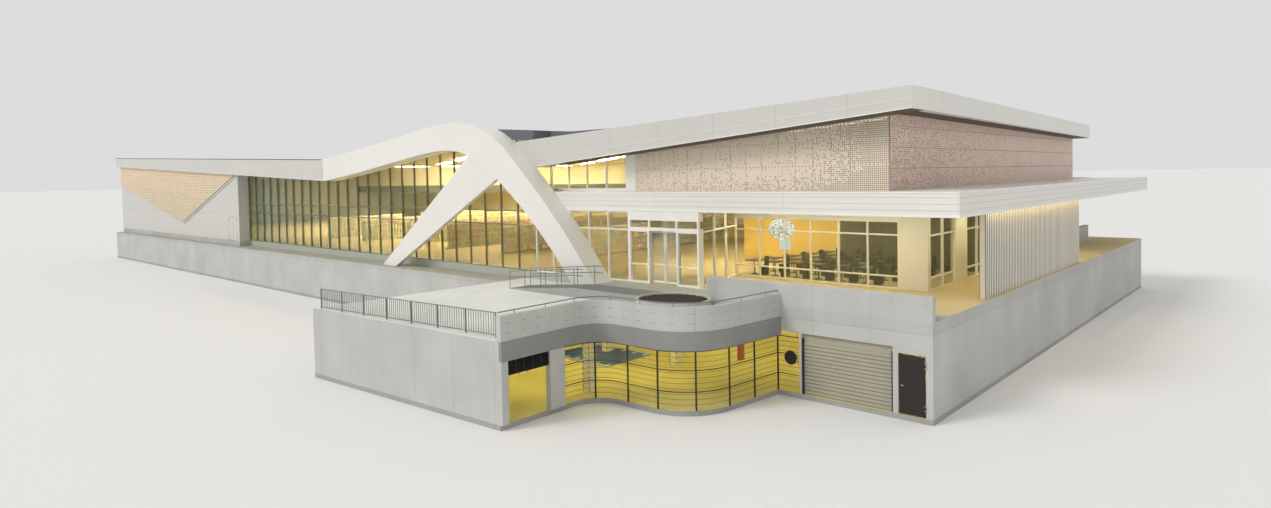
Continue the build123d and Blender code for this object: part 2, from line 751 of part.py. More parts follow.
def make_podium():
    y_inner = (y_ledge + podium_wall_thickness, y_back - podium_wall_thickness)
    foot = ground_slab_thickness
    save("ground_slab", block((x_left, x_slab_right), (y_ledge, y_back), (0.0, foot)))
    front = [(x_left, y_wing), (x_pier, y_wing), (x_pier, y_inside), (x_landing, y_inside), (x_landing, y_ledge)]
    outline = [*front, (x_slab_right, y_ledge), (x_slab_right, y_back), (x_left, y_back)]
    save("store_floor", level_plate(outline, (z_terrace, z_store)))
    save("front_ledge", block((x_left, x_terrace), (y_ledge, y_bearing), (z_ledge, z_terrace)))
    save("podium_front_wall", block((x_left, x_terrace), (y_ledge, y_inner[0]), (foot, z_ledge)))
    save("podium_back_wall", block((x_left, x_slab_right), (y_inner[1], y_back), (foot, z_terrace)))
    left = block((x_left, x_left + podium_wall_thickness), y_inner, (foot, z_terrace))
    left -= block((x_left, x_left + podium_wall_thickness), (y_inner[0], y_bearing), (z_ledge, z_terrace))
    right = block((x_slab_right - podium_wall_thickness, x_slab_right), y_inner, (foot, z_terrace))
    save("podium_end_walls", Compound([left.solid(), right.solid()]))


def make_garage_front():
    """The shutter, the hinged door and the piers and lintel round them."""
    foot = ground_slab_thickness
    y = (y_ledge, y_ledge + podium_wall_thickness)
    x_bay_end = edge_end[0] + half_beam + screen_bay
    shutter = (x_bay_end + shutter_post, x_bay_end + shutter_post + shutter_width)
    door = (shutter[1] + door_from_shutter, shutter[1] + door_from_shutter + garage_door_width + 2 * door_clearance)
    head = foot + shutter_height
    spans = ((x_bay_end, shutter[0]), (shutter[1], door[0]), (door[1], x_slab_right))
    save("garage_piers", Compound([block(span, y, (foot, head)).solid() for span in spans]))
    lintel = block((edge_end[0] - half_beam, x_slab_right), y, (head, z_terrace))
    lintel += block(door, y, (foot + door_height + 2 * door_clearance, head))
    save("garage_lintel", lintel)
    back = y[0] + podium_wall_thickness / 2
    save("roller_shutter", block(shutter, (back, back + shutter_thickness), (foot, head)))
    hinge_x = door[1] - leaf_gap
    leaf_foot = foot + door_clearance
    save("garage_door", hinged_leaf(hinge_x, -1, y_ledge, garage_door_width, leaf_foot))
    return [fixed_hinge(hinge_x, -1, y_ledge, z) for z in hinge_heights(leaf_foot)]


def make_columns():
    """Rows of columns that carry the terrace, the ledge and the front of the store floor."""
    columns = []
    rows = [(row, z_ledge) for row in column_rows_under_ledge] + [(column_row_under_floor, z_terrace)]
    for row, top in rows:
        for place in column_places:
            x, y = x_foot + place, y_ledge + row
            column = block((x, x + column_side), (y, y + column_side), (ground_slab_thickness, top))
            columns += [column.solid()]
    save("garage_columns", Compound(columns))


arch = make_arch()
roof_band = make_roof(arch)
make_curtain()
service_door = make_wing(roof_band)
pins = make_service_doors(service_door)
upper_frames, upper_panes = make_upper_walls()
make_canopy()
make_entrance()
make_leaves()
make_windows(upper_frames, upper_panes)
make_side_walls()
make_terrace()
make_railing()
make_ramp()
make_podium()
pins += make_garage_front()
save("door_hinges", Compound([pin.solid() for pin in pins]))
make_columns()
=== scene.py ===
import math
import bpy
from mathutils import Matrix, Vector


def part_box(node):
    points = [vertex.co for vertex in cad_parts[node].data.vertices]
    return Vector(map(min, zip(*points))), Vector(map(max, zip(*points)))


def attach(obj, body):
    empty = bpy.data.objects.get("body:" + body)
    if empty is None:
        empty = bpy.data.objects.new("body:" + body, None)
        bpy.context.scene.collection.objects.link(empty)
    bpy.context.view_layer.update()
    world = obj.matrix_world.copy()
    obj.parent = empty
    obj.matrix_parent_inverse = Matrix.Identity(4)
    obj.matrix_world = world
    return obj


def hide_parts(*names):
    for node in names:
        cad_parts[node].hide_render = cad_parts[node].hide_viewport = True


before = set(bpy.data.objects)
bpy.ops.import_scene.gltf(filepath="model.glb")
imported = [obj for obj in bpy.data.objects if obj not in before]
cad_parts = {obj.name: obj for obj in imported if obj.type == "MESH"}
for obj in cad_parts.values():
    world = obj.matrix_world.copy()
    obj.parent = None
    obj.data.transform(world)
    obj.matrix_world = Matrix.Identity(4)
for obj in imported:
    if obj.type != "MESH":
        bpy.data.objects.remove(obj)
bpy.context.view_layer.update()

bl_info = {
    "name": "Supermarket building",
    "version": (1, 0, 0),
    "blender": (4, 5, 0),
    "location": "3D View > Sidebar > Market",
    "description": "Finishes and fine pieces of a supermarket building, a scale model at 1:10",
    "category": "Object",
}

# The picture's frame and the lens, in its pixels
PICTURE_WIDTH = 1271.0
FOCAL_PIXELS = 760.0
HORIZON_ABOVE_MIDDLE = 78.4
EYE_FROM_ROOF_END = 11.16
EYE_FROM_GLASS = 2.78

# Levels and planes of the building, in metres
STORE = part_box("store_floor")[1].z
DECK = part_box("terrace_slab")[1].z
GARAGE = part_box("ground_slab")[1].z
GLASS_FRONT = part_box("main_plinth")[0].y
CURTAIN_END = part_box("front_canopy")[0].x
CANOPY_LOW, CANOPY_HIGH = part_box("front_canopy")
HALL_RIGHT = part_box("side_walls")[1].x
CAFE_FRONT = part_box("corner_wall")[0].y
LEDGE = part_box("front_ledge")[0].y

# The curved edge of the terrace: its corners, from the hall's right side and the ledge, and its bends
EDGE_CORNERS = ((-0.865, -0.990), (-0.875, -0.505), (-0.395, -0.495), (-0.345, 0.0))
EDGE_BENDS = (0.125, 0.215)
EDGE_BEND_STEP = math.radians(6)
PARAPET_TOP = DECK + 0.091
PARAPET_HALF = 0.0125

# Distance along the curved edge from the ledge to the cabinet
CABINET_FROM_LEDGE = 0.23

# Distance between the columns of a row in the garage
COLUMN_PITCH = 0.442

# The hinged leaves: their depth, and the height, distance from the edge and reach of their levers
LEAF_DEPTH = 0.006
LEVER_HEIGHT = 0.10
LEVER_INSET = 0.008
LEVER_REACH = 0.011


class MarketStage(bpy.types.PropertyGroup):
    eye_height: bpy.props.FloatProperty(
        name="Eye height", description="Camera height over the store floor", default=0.53, unit="LENGTH")
    eye_right: bpy.props.FloatProperty(
        name="Eye right", description="Camera place to the right of the middle",
        default=round(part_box("roof_band")[0].x + EYE_FROM_ROOF_END, 4), unit="LENGTH")
    eye_back: bpy.props.FloatProperty(
        name="Eye back", description="Camera place in front of the middle",
        default=round(EYE_FROM_GLASS - GLASS_FRONT, 4), unit="LENGTH")
    turn: bpy.props.FloatProperty(
        name="Turn", description="Angle of the view from straight ahead", default=math.radians(42.36),
        subtype="ANGLE")
    tilt: bpy.props.FloatProperty(
        name="Tilt", description="Angle of the view below level", default=math.radians(2.0), subtype="ANGLE")
    roll: bpy.props.FloatProperty(
        name="Roll", description="Angle that the camera leans to the right", default=math.radians(1.12),
        subtype="ANGLE")
    floor_colour: bpy.props.FloatVectorProperty(
        name="Floor colour", description="Colour of the floor and the background", default=(0.80, 0.79, 0.77),
        subtype="COLOR", min=0.0, max=1.0)
    daylight: bpy.props.FloatProperty(
        name="Daylight", description="Strength of the soft light from all round", default=0.72, min=0.0)
    sun: bpy.props.FloatProperty(name="Sun", description="Strength of the wide sun", default=1.3, min=0.0)


class MarketPieces(bpy.types.PropertyGroup):
    sheet: bpy.props.FloatProperty(
        name="Sheet", description="Thickness of a perforated sheet", default=0.0012, unit="LENGTH")
    sheet_gap: bpy.props.FloatProperty(
        name="Sheet gap", description="Space between a perforated sheet and the wall", default=0.0026,
        unit="LENGTH")
    hole_pitch: bpy.props.FloatProperty(
        name="Hole pitch", description="Distance between holes of the front sheets", default=0.0084,
        unit="LENGTH")
    side_pitch: bpy.props.FloatProperty(
        name="Side pitch", description="Distance between holes of the side sheets", default=0.012,
        unit="LENGTH")
    wing_pitch: bpy.props.FloatProperty(
        name="Wing pitch", description="Distance between holes of the left wing's panel", default=0.023,
        unit="LENGTH")
    holes_per_panel: bpy.props.IntProperty(
        name="Holes per panel", description="Holes along one panel of the front sheets", default=10, min=2)
    fin_pitch: bpy.props.FloatProperty(
        name="Fin pitch", description="Distance between fins of the screen wall", default=0.022,
        unit="LENGTH")
    fin_depth: bpy.props.FloatProperty(
        name="Fin depth", description="How far a fin stands out", default=0.0045, unit="LENGTH")
    baluster_pitch: bpy.props.FloatProperty(
        name="Baluster pitch", description="Distance between the railing's balusters", default=0.0135,
        unit="LENGTH")
    slat: bpy.props.FloatProperty(
        name="Slat", description="Height of one slat of the roller shutter", default=0.0147, unit="LENGTH")
    rail: bpy.props.FloatProperty(
        name="Rail", description="Radius of a handrail", default=0.0022, unit="LENGTH")


class MarketColours(bpy.types.PropertyGroup):
    white: bpy.props.FloatVectorProperty(
        name="White", description="Metal panels of the arch, the band and the canopies",
        default=(0.80, 0.785, 0.73), subtype="COLOR", min=0.0, max=1.0)
    bronze: bpy.props.FloatVectorProperty(
        name="Bronze", description="Perforated sheets over the entrance", default=(0.76, 0.65, 0.51),
        subtype="COLOR", min=0.0, max=1.0)
    bronze_dark: bpy.props.FloatVectorProperty(
        name="Dark bronze", description="Perforated sheets of the side", default=(0.80, 0.60, 0.49),
        subtype="COLOR", min=0.0, max=1.0)
    concrete: bpy.props.FloatVectorProperty(
        name="Concrete", description="Cast concrete", default=(0.47, 0.47, 0.445),
        subtype="COLOR", min=0.0, max=1.0)
    cream: bpy.props.FloatVectorProperty(
        name="Cream", description="Render of the walls", default=(0.83, 0.79, 0.67),
        subtype="COLOR", min=0.0, max=1.0)
    lamp: bpy.props.FloatVectorProperty(
        name="Lamp", description="Colour of the lamps inside", default=(1.0, 0.89, 0.56),
        subtype="COLOR", min=0.0, max=1.0)


class Tone:
    """A socket of a finish, with the operators that the finishes use."""

    def __init__(self, finish, socket):
        self.finish = finish
        self.socket = socket

    def maths(self, operation, first, second):
        return self.finish.node("Math", {"operation": operation}, {0: first, 1: second})

    def __add__(self, other):
        return self.maths("ADD", self, other)

    def __sub__(self, other):
        return self.maths("SUBTRACT", self, other)

    def __rsub__(self, other):
        return self.maths("SUBTRACT", other, self)

    def __mul__(self, other):
        return self.maths("MULTIPLY", self, other)

    def __truediv__(self, other):
        return self.maths("DIVIDE", self, other)

    def __mod__(self, other):
        return self.maths("FLOORED_MODULO", self, other)

    def __or__(self, other):
        return self.maths("MAXIMUM", self, other)

    def __and__(self, other):
        return self.maths("MINIMUM", self, other)

    def __gt__(self, other):
        return self.maths("GREATER_THAN", self, other)

    def __lt__(self, other):
        return self.maths("LESS_THAN", self, other)

    __radd__ = __add__
    __rmul__ = __mul__


class Finish:
    """A material and the nodes that make its look, on the building's own coordinates."""

    def __init__(self, name, colour=(0.8, 0.8, 0.8), rough=0.6, **fixed):
        self.material = bpy.data.materials.new(name)
        self.material.use_nodes = True
        self.tree = self.material.node_tree
        self.surface = self.tree.nodes["Principled BSDF"]
        self.surface.inputs["Base Color"].default_value = (*colour, 1.0)
        self.surface.inputs["Roughness"].default_value = rough
        for name, value in fixed.items():
            self.surface.inputs[name.replace("_", " ")].default_value = value
        self.place = self.node("TexCoord", {}, {}, "Object")
        split = self.node("SeparateXYZ", {}, {0: self.place})
        self.x, self.y, self.z = (Tone(self, socket) for socket in split.socket.node.outputs)

    def node(self, kind, settings, inputs, output=0):
        """A node of one kind, with its settings made first; gives back the tone of one output."""
        made = self.tree.nodes.new("ShaderNode" + kind)
        for name, value in settings.items():
            setattr(made, name, value)
        for place, value in inputs.items():
            self.put(made.inputs[place], value)
        return Tone(self, made.outputs[output])

    def put(self, socket, value):
        if isinstance(value, Tone):
            self.tree.links.new(value.socket, socket)
        elif socket.type == "RGBA":
            socket.default_value = (*value[:3], 1.0)
        else:
            socket.default_value = value

    def shows(self, **linked):
        for name, value in linked.items():
            self.put(self.surface.inputs[name.replace("_", " ")], value)
        return self

    def noise(self, scale, detail=4.0, stretch=None):
        """Soft noise with so many cells in a metre, from 0 to 1."""
        where = self.place
        if stretch:
            where = self.node("Mapping", {}, {"Vector": self.place, "Scale": stretch})
        return self.node("TexNoise", {}, {"Vector": where, "Scale": scale, "Detail": detail})

    def mix(self, mask, low, high):
        """One colour where the mask is 0 and another where it is 1."""
        return self.node("Mix", {"data_type": "RGBA"}, {0: mask, 6: low, 7: high}, 2)

    def seams(self, *joints):
        """1 on thin lines, each given by the axis that it crosses, its pitch, its width and its start."""
        found = None
        for axis, pitch, width, start in joints:
            line = ((getattr(self, axis) - start) % pitch) < width
            found = line if found is None else found | line
        return found

    def facing(self, axis):
        """How far a face looks along one axis, from -1 to 1."""
        split = self.node("SeparateXYZ", {}, {0: self.node("NewGeometry", {}, {}, "Normal")})
        return Tone(self, split.socket.node.outputs["XYZ".index(axis)])

    def bump(self, height, depth, strength=0.6):
        return self.node("Bump", {}, {"Strength": strength, "Distance": depth, "Height": height})


def shade(colour, factor):
    """A colour made lighter or darker."""
    return tuple(min(1.0, channel * factor) for channel in colour)


def panelled(name, colour, joints, rough=0.38, side=None):
    """Satin metal panels with fine joints; the faces that look to the right may take another colour, as
    painted light and shade between them and the rest.
    """
    made = Finish(name, colour, rough)
    seams = made.seams(*joints)
    cloud = made.noise(2.2)
    tint = made.mix(cloud, shade(colour, 0.94), shade(colour, 1.05))
    # painted light and shade: the faces that look right take the side colour, the rest keep the panels'
    # colour
    if side:
        tint = made.mix(made.facing("X") > 0.5, tint, side)
    return made.shows(Base_Color=made.mix(seams * 0.55, tint, shade(colour, 0.45)),
                      Roughness=cloud * 0.16 + (rough - 0.08),
                      Normal=made.bump(made.noise(60.0, 3.0) * 0.08 - seams, 0.0016))


def concrete(name, colour, joints, stain=0.35, top=None, indoors=None, tiles=()):
    """Cast concrete with pores and stains that run down; its top may be paved, in another colour indoors."""
    made = Finish(name, colour, 0.85)
    cloud = made.noise(3.5, 6.0)
    streak = made.noise(9.0, 4.0, (1.0, 1.0, 0.16))
    seams = made.seams(*joints)
    tint = made.mix(cloud, shade(colour, 0.72), shade(colour, 1.22))
    worn = made.mix((streak - 0.45) * stain, tint, shade(colour, 0.52))
    if top:
        above = made.facing("Z") > 0.5
        paved = made.mix(cloud, shade(top, 0.82), shade(top, 1.18))
        if indoors:
            inside = made.y > GLASS_FRONT
            paved = made.mix(inside, paved, made.mix(cloud, shade(indoors, 0.9), shade(indoors, 1.1)))
        worn = made.mix(above, worn, paved)
        seams = (above & made.seams(*tiles)) | ((1.0 - above) & seams)
    return made.shows(Base_Color=made.mix(seams * 0.45, worn, shade(colour, 0.5)),
                      Roughness=cloud * 0.2 + 0.72,
                      Normal=made.bump(made.noise(260.0, 2.0) * 0.3 + cloud - seams, 0.0011, 0.5))


def render_coat(name, colour):
    """Smooth render with a faint trowelled cloud."""
    made = Finish(name, colour, 0.8)
    cloud = made.noise(4.0, 5.0)
    return made.shows(Base_Color=made.mix(cloud, shade(colour, 0.93), shade(colour, 1.05)),
                      Roughness=cloud * 0.1 + 0.74,
                      Normal=made.bump(made.noise(180.0, 2.0), 0.0004, 0.4))


def ribbed(name, flank, crest):
    """Ribbed screen in painted light and shade: the faces that look to the right take one colour, the rest
    another.
    """
    made = Finish(name, crest, 0.6)
    cloud = made.noise(12.0)
    # painted light and shade of the ribs: the faces that look right against the rest
    outer = made.facing("X") > 0.5
    tint = made.mix(cloud, shade(flank, 0.85), shade(flank, 1.1))
    return made.shows(Base_Color=made.mix(outer, tint, crest), Roughness=cloud * 0.2 + 0.5)


def sheet_glass(name, left, right, ends, clear):
    """Glass whose colour and opacity turn from left to right between two X as a painted reflection, with
    faint patches of painted reflection.
    """
    made = Finish(name, left, 0.04)
    share = (made.x - ends[0]) / (ends[1] - ends[0])
    share = (share & 1.0) | 0.0
    cloud = made.noise(1.6, 2.0)
    return made.shows(Base_Color=made.mix(share, left, right),
                      Alpha=share * (clear[1] - clear[0]) + clear[0] + (cloud - 0.5) * 0.22,
                      Normal=made.bump(made.noise(5.0, 1.0), 0.002, 0.08))


def membrane(name, colour, lining):
    """Roofing sheet in strips across the slope, with weathered patches and a painted lining underneath."""
    made = Finish(name, colour, 0.7)
    seams = made.seams(("x", 0.2, 0.003, 0.0), ("y", 1.0, 0.003, 0.35))
    cloud = made.noise(1.4, 6.0)
    tint = made.mix(cloud, shade(colour, 0.75), shade(colour, 1.3))
    sheet = made.mix(seams * 0.6, tint, shade(colour, 1.7))
    below = made.facing("Z") < -0.5
    return made.shows(Base_Color=made.mix(below, sheet, made.mix(cloud, shade(lining, 0.9), lining)),
                      Roughness=cloud * 0.3 + 0.5,
                      Normal=made.bump(seams + made.noise(90.0, 2.0) * 0.15, 0.0015))


def column_paint(name, paint, dark, bright):
    """Painted columns with slanting warning stripes down their front corners."""
    made = Finish(name, paint, 0.6)
    left_edge, right_edge, slant = 0.004, 0.036, 0.024
    across = (made.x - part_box("garage_columns")[0].x) % COLUMN_PITCH
    corner = (across < left_edge) | (across > right_edge)
    marked = corner & (made.facing("Y") < -0.5)
    band = ((made.x + made.z) % slant) < slant / 2
    cloud = made.noise(30.0)
    tint = made.mix(cloud, shade(paint, 0.9), shade(paint, 1.08))
    return made.shows(Base_Color=made.mix(marked, tint, made.mix(band, dark, bright)),
                      Roughness=cloud * 0.3 + 0.45)


def metal(name, colour, rough, **fixed):
    """Coated metal with a faint grain and worn patches."""
    made = Finish(name, colour, rough, **fixed)
    cloud = made.noise(7.0)
    return made.shows(Base_Color=made.mix(cloud, shade(colour, 0.86), shade(colour, 1.1)),
                      Roughness=cloud * 0.2 + (rough - 0.1),
                      Normal=made.bump(made.noise(140.0, 2.0), 0.0003, 0.3))


def perforated(name, node, low_colour, high_colour):
    """Sheet over a node, brushed along its length, uneven from panel to panel and paler towards its top."""
    made = Finish(name, low_colour, 0.42, Metallic=0.1)
    low, high = (corner.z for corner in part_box(node))
    rise = (made.z - low) / (high - low)
    panel = made.noise(6.0, 2.0, (1.0, 1.0, 2.5))
    brushed = made.noise(40.0, 3.0, (0.2, 0.2, 4.0))
    tint = made.mix(rise, low_colour, high_colour)
    return made.shows(Base_Color=made.mix(panel * 0.5, tint, shade(high_colour, 1.12)),
                      Roughness=brushed * 0.2 + 0.34,
                      Normal=made.bump(brushed, 0.0004, 0.3))


def goods(name):
    """Boxed goods of many muted colours, one colour to a cell."""
    made = Finish(name, (0.8, 0.7, 0.5), 0.5)
    cells = made.node("TexVoronoi", {}, {"Vector": made.place, "Scale": 34.0}, "Color")
    return made.shows(Base_Color=made.mix(0.68, cells, (0.86, 0.76, 0.46)),
                      Roughness=made.noise(30.0) * 0.3 + 0.35)


def speckled(name, pale, dark, strength):
    """A face of fine pale and grey flecks that glows: a lamp on the disc, painted light on the plate."""
    made = Finish(name, pale, 0.5, Emission_Strength=strength)
    cells = made.node("TexVoronoi", {}, {"Vector": made.place, "Scale": 120.0}, "Distance")
    tint = made.mix(cells > 0.52, pale, dark)
    return made.shows(Base_Color=tint, Emission_Color=tint)


def lamp(name, colour, strength):
    made = Finish(name, colour, 0.5, Emission_Strength=strength)
    return made.shows(Emission_Color=made.mix(made.noise(25.0, 1.0), shade(colour, 0.92), colour))


def make_finishes(colours):
    """Every finish of the building, by name."""
    white, cream, grey = colours.white, colours.cream, colours.concrete
    wall = [("x", 0.2345, 0.002, 4.596), ("z", 9.0, 0.002, DECK - 0.001)]
    tiles = [("x", 0.06, 0.0008, 0.0), ("y", 0.06, 0.0008, 0.0)]
    return {
        "arch": panelled("arch_white", white, [("x", 2.0, 0.0012, 0.9)]),
        # The band's front is the white panels in painted shade; its faces that look right take the side
        # band's lighter white.
        "band": panelled("band_white", shade(white, 0.76), [("x", 0.326, 0.0018, 0.10)],
                         side=shade(white, 0.97)),
        "side_band": panelled("side_band_white", shade(white, 0.97), [("y", 0.326, 0.0018, 0.0)]),
        "canopy": panelled("canopy_white", shade(white, 0.97), [
            ("x", 0.72, 0.0014, 0.05), ("y", 0.72, 0.0014, 0.02), ("z", 0.024, 0.0014, CANOPY_LOW.z)]),
        "trim": metal("trim_white", shade(white, 1.08), 0.4),
        # Painted shade: the dark brown under the fascias stands in for their shadow; the band's cap takes the
        # same brown.
        "soffit": metal("soffit_shade_and_cap_brown", (0.09, 0.07, 0.055), 0.6),
        "wing": panelled("wing_white", shade(white, 0.74),
                         [("x", 0.6, 0.0016, 0.02), ("z", 0.25, 0.0016, STORE)]),
        "ceiling": panelled("ceiling_white", white, [("x", 0.06, 0.001, 0.0), ("y", 0.06, 0.001, 0.0)], 0.7),
        "concrete": concrete("cast_concrete_finish", shade(grey, 1.12), wall),
        # Painted shade: the terrace's edge beam lies in shadow under the parapet, so its concrete is painted
        # darker.
        "beam": concrete("shaded_edge_beam_concrete", shade(grey, 0.60), [("x", 3.0, 0.001, 0.0)], 0.6),
        # The plugs' dark grey is partly their own colour and partly painted shade of the recessed holes.
        "hole": concrete("tie_hole_grey_and_shade", shade(grey, 0.22), [("x", 3.0, 0.001, 0.0)]),
        "paving": concrete("floor_finish", shade(grey, 1.05), wall, 0.35, (0.37, 0.37, 0.31),
                           (0.58, 0.47, 0.24), tiles),
        "deck": concrete("deck_finish", shade(grey, 1.12), wall, 0.2, (0.72, 0.73, 0.68), None, tiles),
        "ramp": concrete("ramp_finish", shade(grey, 0.8), wall, 0.35, (0.19, 0.19, 0.175), None, tiles),
        "garage_floor": concrete("garage_floor_finish", shade(grey, 0.8), wall, 0.4, (0.66, 0.58, 0.20), None,
                                 [("x", 0.5, 0.002, 0.1)]),
        "bronze": perforated("bronze_sheet", "front_cladding", colours.bronze, shade(colours.bronze, 0.96)),
        "bronze_dark": perforated("dark_bronze_sheet", "side_cladding", shade(colours.bronze_dark, 0.66),
                                  colours.bronze_dark),
        "bronze_wing": perforated("wing_bronze_sheet", "triangle_panel", (0.56, 0.49, 0.33),
                                  (0.80, 0.62, 0.42)),
        "backing": metal("dark_backing", (0.055, 0.045, 0.04), 0.7),
        "cream": render_coat("cream_finish", cream),
        # Painted shade and light: the wall's faces that look right, between the fins, are dark as painted
        # shade; the fins' fronts are pale as painted light and their flanks dark as painted shade.
        "screen": ribbed("screen_wall_finish", (0.84, 0.80, 0.68), (0.34, 0.31, 0.24)),
        "fin": ribbed("screen_fin_finish", (0.36, 0.33, 0.25), (0.86, 0.84, 0.76)),
        # Painted reflection: the main glass turns from dark bluish-green where it mirrors on the left to
        # clear and warm on the right; the window glass turns the same way.
        "main_glass": sheet_glass("main_glass_finish", (0.12, 0.19, 0.13), (0.34, 0.34, 0.14),
                                  (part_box("main_glass")[0].x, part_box("main_glass")[1].x), (0.62, 0.06)),
        "glass": sheet_glass("window_glass_finish", (0.24, 0.25, 0.16), (0.16, 0.20, 0.13),
                             (CURTAIN_END, HALL_RIGHT), (0.14, 0.26)),
        "leaf_glass": sheet_glass("leaf_glass_finish", (0.36, 0.44, 0.42), (0.36, 0.44, 0.42),
                                  (CURTAIN_END, HALL_RIGHT), (0.22, 0.22)),
        "grey_frame": metal("grey_frame_finish", (0.17, 0.18, 0.12), 0.38, Metallic=0.25),
        "white_frame": metal("white_frame_finish", (0.86, 0.84, 0.77), 0.35),
        "roof": membrane("roof_finish", (0.12, 0.125, 0.14), (0.84, 0.78, 0.62)),
        "steel": metal("steel_finish", (0.035, 0.035, 0.033), 0.42, Metallic=0.3),
        "railing": metal("railing_finish", (0.20, 0.21, 0.21), 0.36, Metallic=0.4),
        "galvanised": metal("galvanised_finish", (0.52, 0.53, 0.53), 0.36, Metallic=0.5),
        "shutter": metal("shutter_finish", (0.40, 0.375, 0.28), 0.45),
        "dark_door": metal("dark_door_finish", (0.016, 0.010, 0.008), 0.45),
        "plinth": render_coat("plinth_finish", (0.44, 0.46, 0.40)),
        "column": column_paint("column_finish", (0.82, 0.78, 0.58), (0.02, 0.02, 0.02), (0.80, 0.66, 0.16)),
        "wire": metal("wire_finish", (0.12, 0.08, 0.035), 0.4, Metallic=0.3),
        "black": metal("black_finish", (0.012, 0.012, 0.014), 0.5),
        "cabinet": metal("cabinet_finish", (0.50, 0.10, 0.04), 0.4),
        "soil": render_coat("soil_finish", (0.032, 0.020, 0.013)),
        "paint_blue": metal("floor_paint_blue", (0.0, 0.06, 0.28), 0.4),
        "paint_white": metal("floor_paint_white", (0.78, 0.80, 0.74), 0.5),
        "warm_wall": render_coat("warm_wall_finish", (0.86, 0.60, 0.13)),
        "olive_wall": render_coat("olive_wall_finish", (0.13, 0.10, 0.055)),
        "wood": metal("dark_wood_finish", (0.05, 0.035, 0.022), 0.5),
        "goods": goods("goods_finish"),
        "lamp": lamp("lamp_finish", colours.lamp, 42.0),
        "spot": lamp("downlight_finish", colours.lamp, 110.0),
        "strip": lamp("strip_light_finish", (1.0, 0.78, 0.36), 9.0),
        "glow": lamp("fascia_glow_finish", (1.0, 0.92, 0.72), 1.2),
        "garage_lamp": lamp("garage_lamp_finish", (1.0, 0.88, 0.40), 34.0),
        "disc": speckled("disc_finish", (0.92, 0.95, 0.93), (0.30, 0.36, 0.36), 1.0),
        # Painted light: the plate glows though it is no lamp.
        "plate": speckled("pale_blue_plate", (0.50, 0.72, 0.90), (0.42, 0.62, 0.80), 0.9),
    }


# The finish of each carried-over piece
NODE_FINISHES = {
    "arch": ("arch", "arch_left_leg"),
    "band": ("roof_band", "right_fascia"),
    "side_band": ("side_fascia",),
    "canopy": ("front_canopy", "side_canopy"),
    "wing": ("left_wing_wall", "service_lintel", "pier_wall", "service_left_leaf", "service_right_leaf"),
    "concrete": ("terrace_parapet", "terrace_front_wall", "terrace_left_wall", "terrace_corner_walls",
                 "podium_front_wall", "podium_end_walls", "podium_back_wall", "garage_piers", "garage_lintel",
                 "rear_low_wall"),
    "beam": ("terrace_edge_beam",),
    "paving": ("store_floor", "front_ledge"),
    "deck": ("terrace_slab",),
    "ramp": ("entrance_ramp",),
    "garage_floor": ("ground_slab", "terrace_ground_slab"),
    "backing": ("front_cladding", "side_cladding", "triangle_panel"),
    "cream": ("corner_wall", "side_walls", "left_end_wall", "back_wall", "rear_store_walls"),
    "screen": ("screen_wall",),
    "main_glass": ("main_glass",),
    "glass": ("window_glass",),
    "grey_frame": ("main_frame",),
    "white_frame": ("window_frames", "vestibule_screens", "vestibule_head", "left_leaf", "right_leaf",
                    "upper_column"),
    "roof": ("main_roof", "right_roof", "rear_store_roof"),
    "steel": ("garage_screen", "vent_grille"),
    "railing": ("terrace_railing",),
    "galvanised": ("door_hinges",),
    "shutter": ("roller_shutter",),
    "dark_door": ("garage_door",),
    "plinth": ("main_plinth",),
    "column": ("garage_columns",),
}
finishes = {}


class MARKET_OT_stage(bpy.types.Operator):
    """Add the floor, the lamps and the camera"""
    bl_idname = "market.stage"
    bl_label = "Stage"

    def execute(self, context):
        stage = context.scene.market_stage
        add_floor(stage)
        add_lamps(context, stage)
        add_camera(context, stage)
        context.scene.view_settings.view_transform = "Standard"
        return {"FINISHED"}


def add_floor(stage):
    bpy.ops.mesh.primitive_plane_add(size=400.0)
    floor = bpy.context.object
    floor.name = "floor"
    plain = bpy.data.materials.new("floor_colour")
    plain.use_nodes = True
    surface = plain.node_tree.nodes["Principled BSDF"]
    surface.inputs["Base Color"].default_value = (*stage.floor_colour, 1.0)
    surface.inputs["Roughness"].default_value = 0.9
    floor.data.materials.append(plain)


def add_lamps(context, stage):
    world = bpy.data.worlds.new("studio")
    context.scene.world = world
    world.use_nodes = True
    world.node_tree.nodes["Background"].inputs["Color"].default_value = (1.0, 1.0, 1.0, 1.0)
    world.node_tree.nodes["Background"].inputs["Strength"].default_value = stage.daylight
    sun = bpy.data.objects.new("sun", bpy.data.lights.new("sun", "SUN"))
    sun.data.energy = stage.sun
    sun.data.angle = math.radians(20)
    sun.rotation_euler = (math.radians(50), 0.0, math.radians(-25))
    context.scene.collection.objects.link(sun)


def add_camera(context, stage):
    """The camera at the picture's eye point, from its turn, tilt and roll."""
    camera = bpy.data.objects.new("camera", bpy.data.cameras.new("camera"))
    context.scene.collection.objects.link(camera)
    context.scene.camera = camera
    ahead = Vector((-math.sin(stage.turn) * math.cos(stage.tilt), math.cos(stage.turn) * math.cos(stage.tilt),
                    -math.sin(stage.tilt)))
    level = ahead.cross(Vector((0.0, 0.0, 1.0))).normalized()
    above = level.cross(ahead)
    right = level * math.cos(stage.roll) - above * math.sin(stage.roll)
    upward = above * math.cos(stage.roll) + level * math.sin(stage.roll)
    turned = Matrix((right, upward, -ahead)).transposed().to_4x4()
    place = Vector((stage.eye_right, -stage.eye_back, STORE + stage.eye_height))
    camera.matrix_world = Matrix.Translation(place) @ turned
    camera.data.lens = FOCAL_PIXELS / PICTURE_WIDTH * camera.data.sensor_width
    shown = HORIZON_ABOVE_MIDDLE - FOCAL_PIXELS * math.tan(stage.tilt)
    camera.data.shift_y = -shown / PICTURE_WIDTH
    camera.data.clip_start = 0.05
    camera.data.clip_end = 500.0


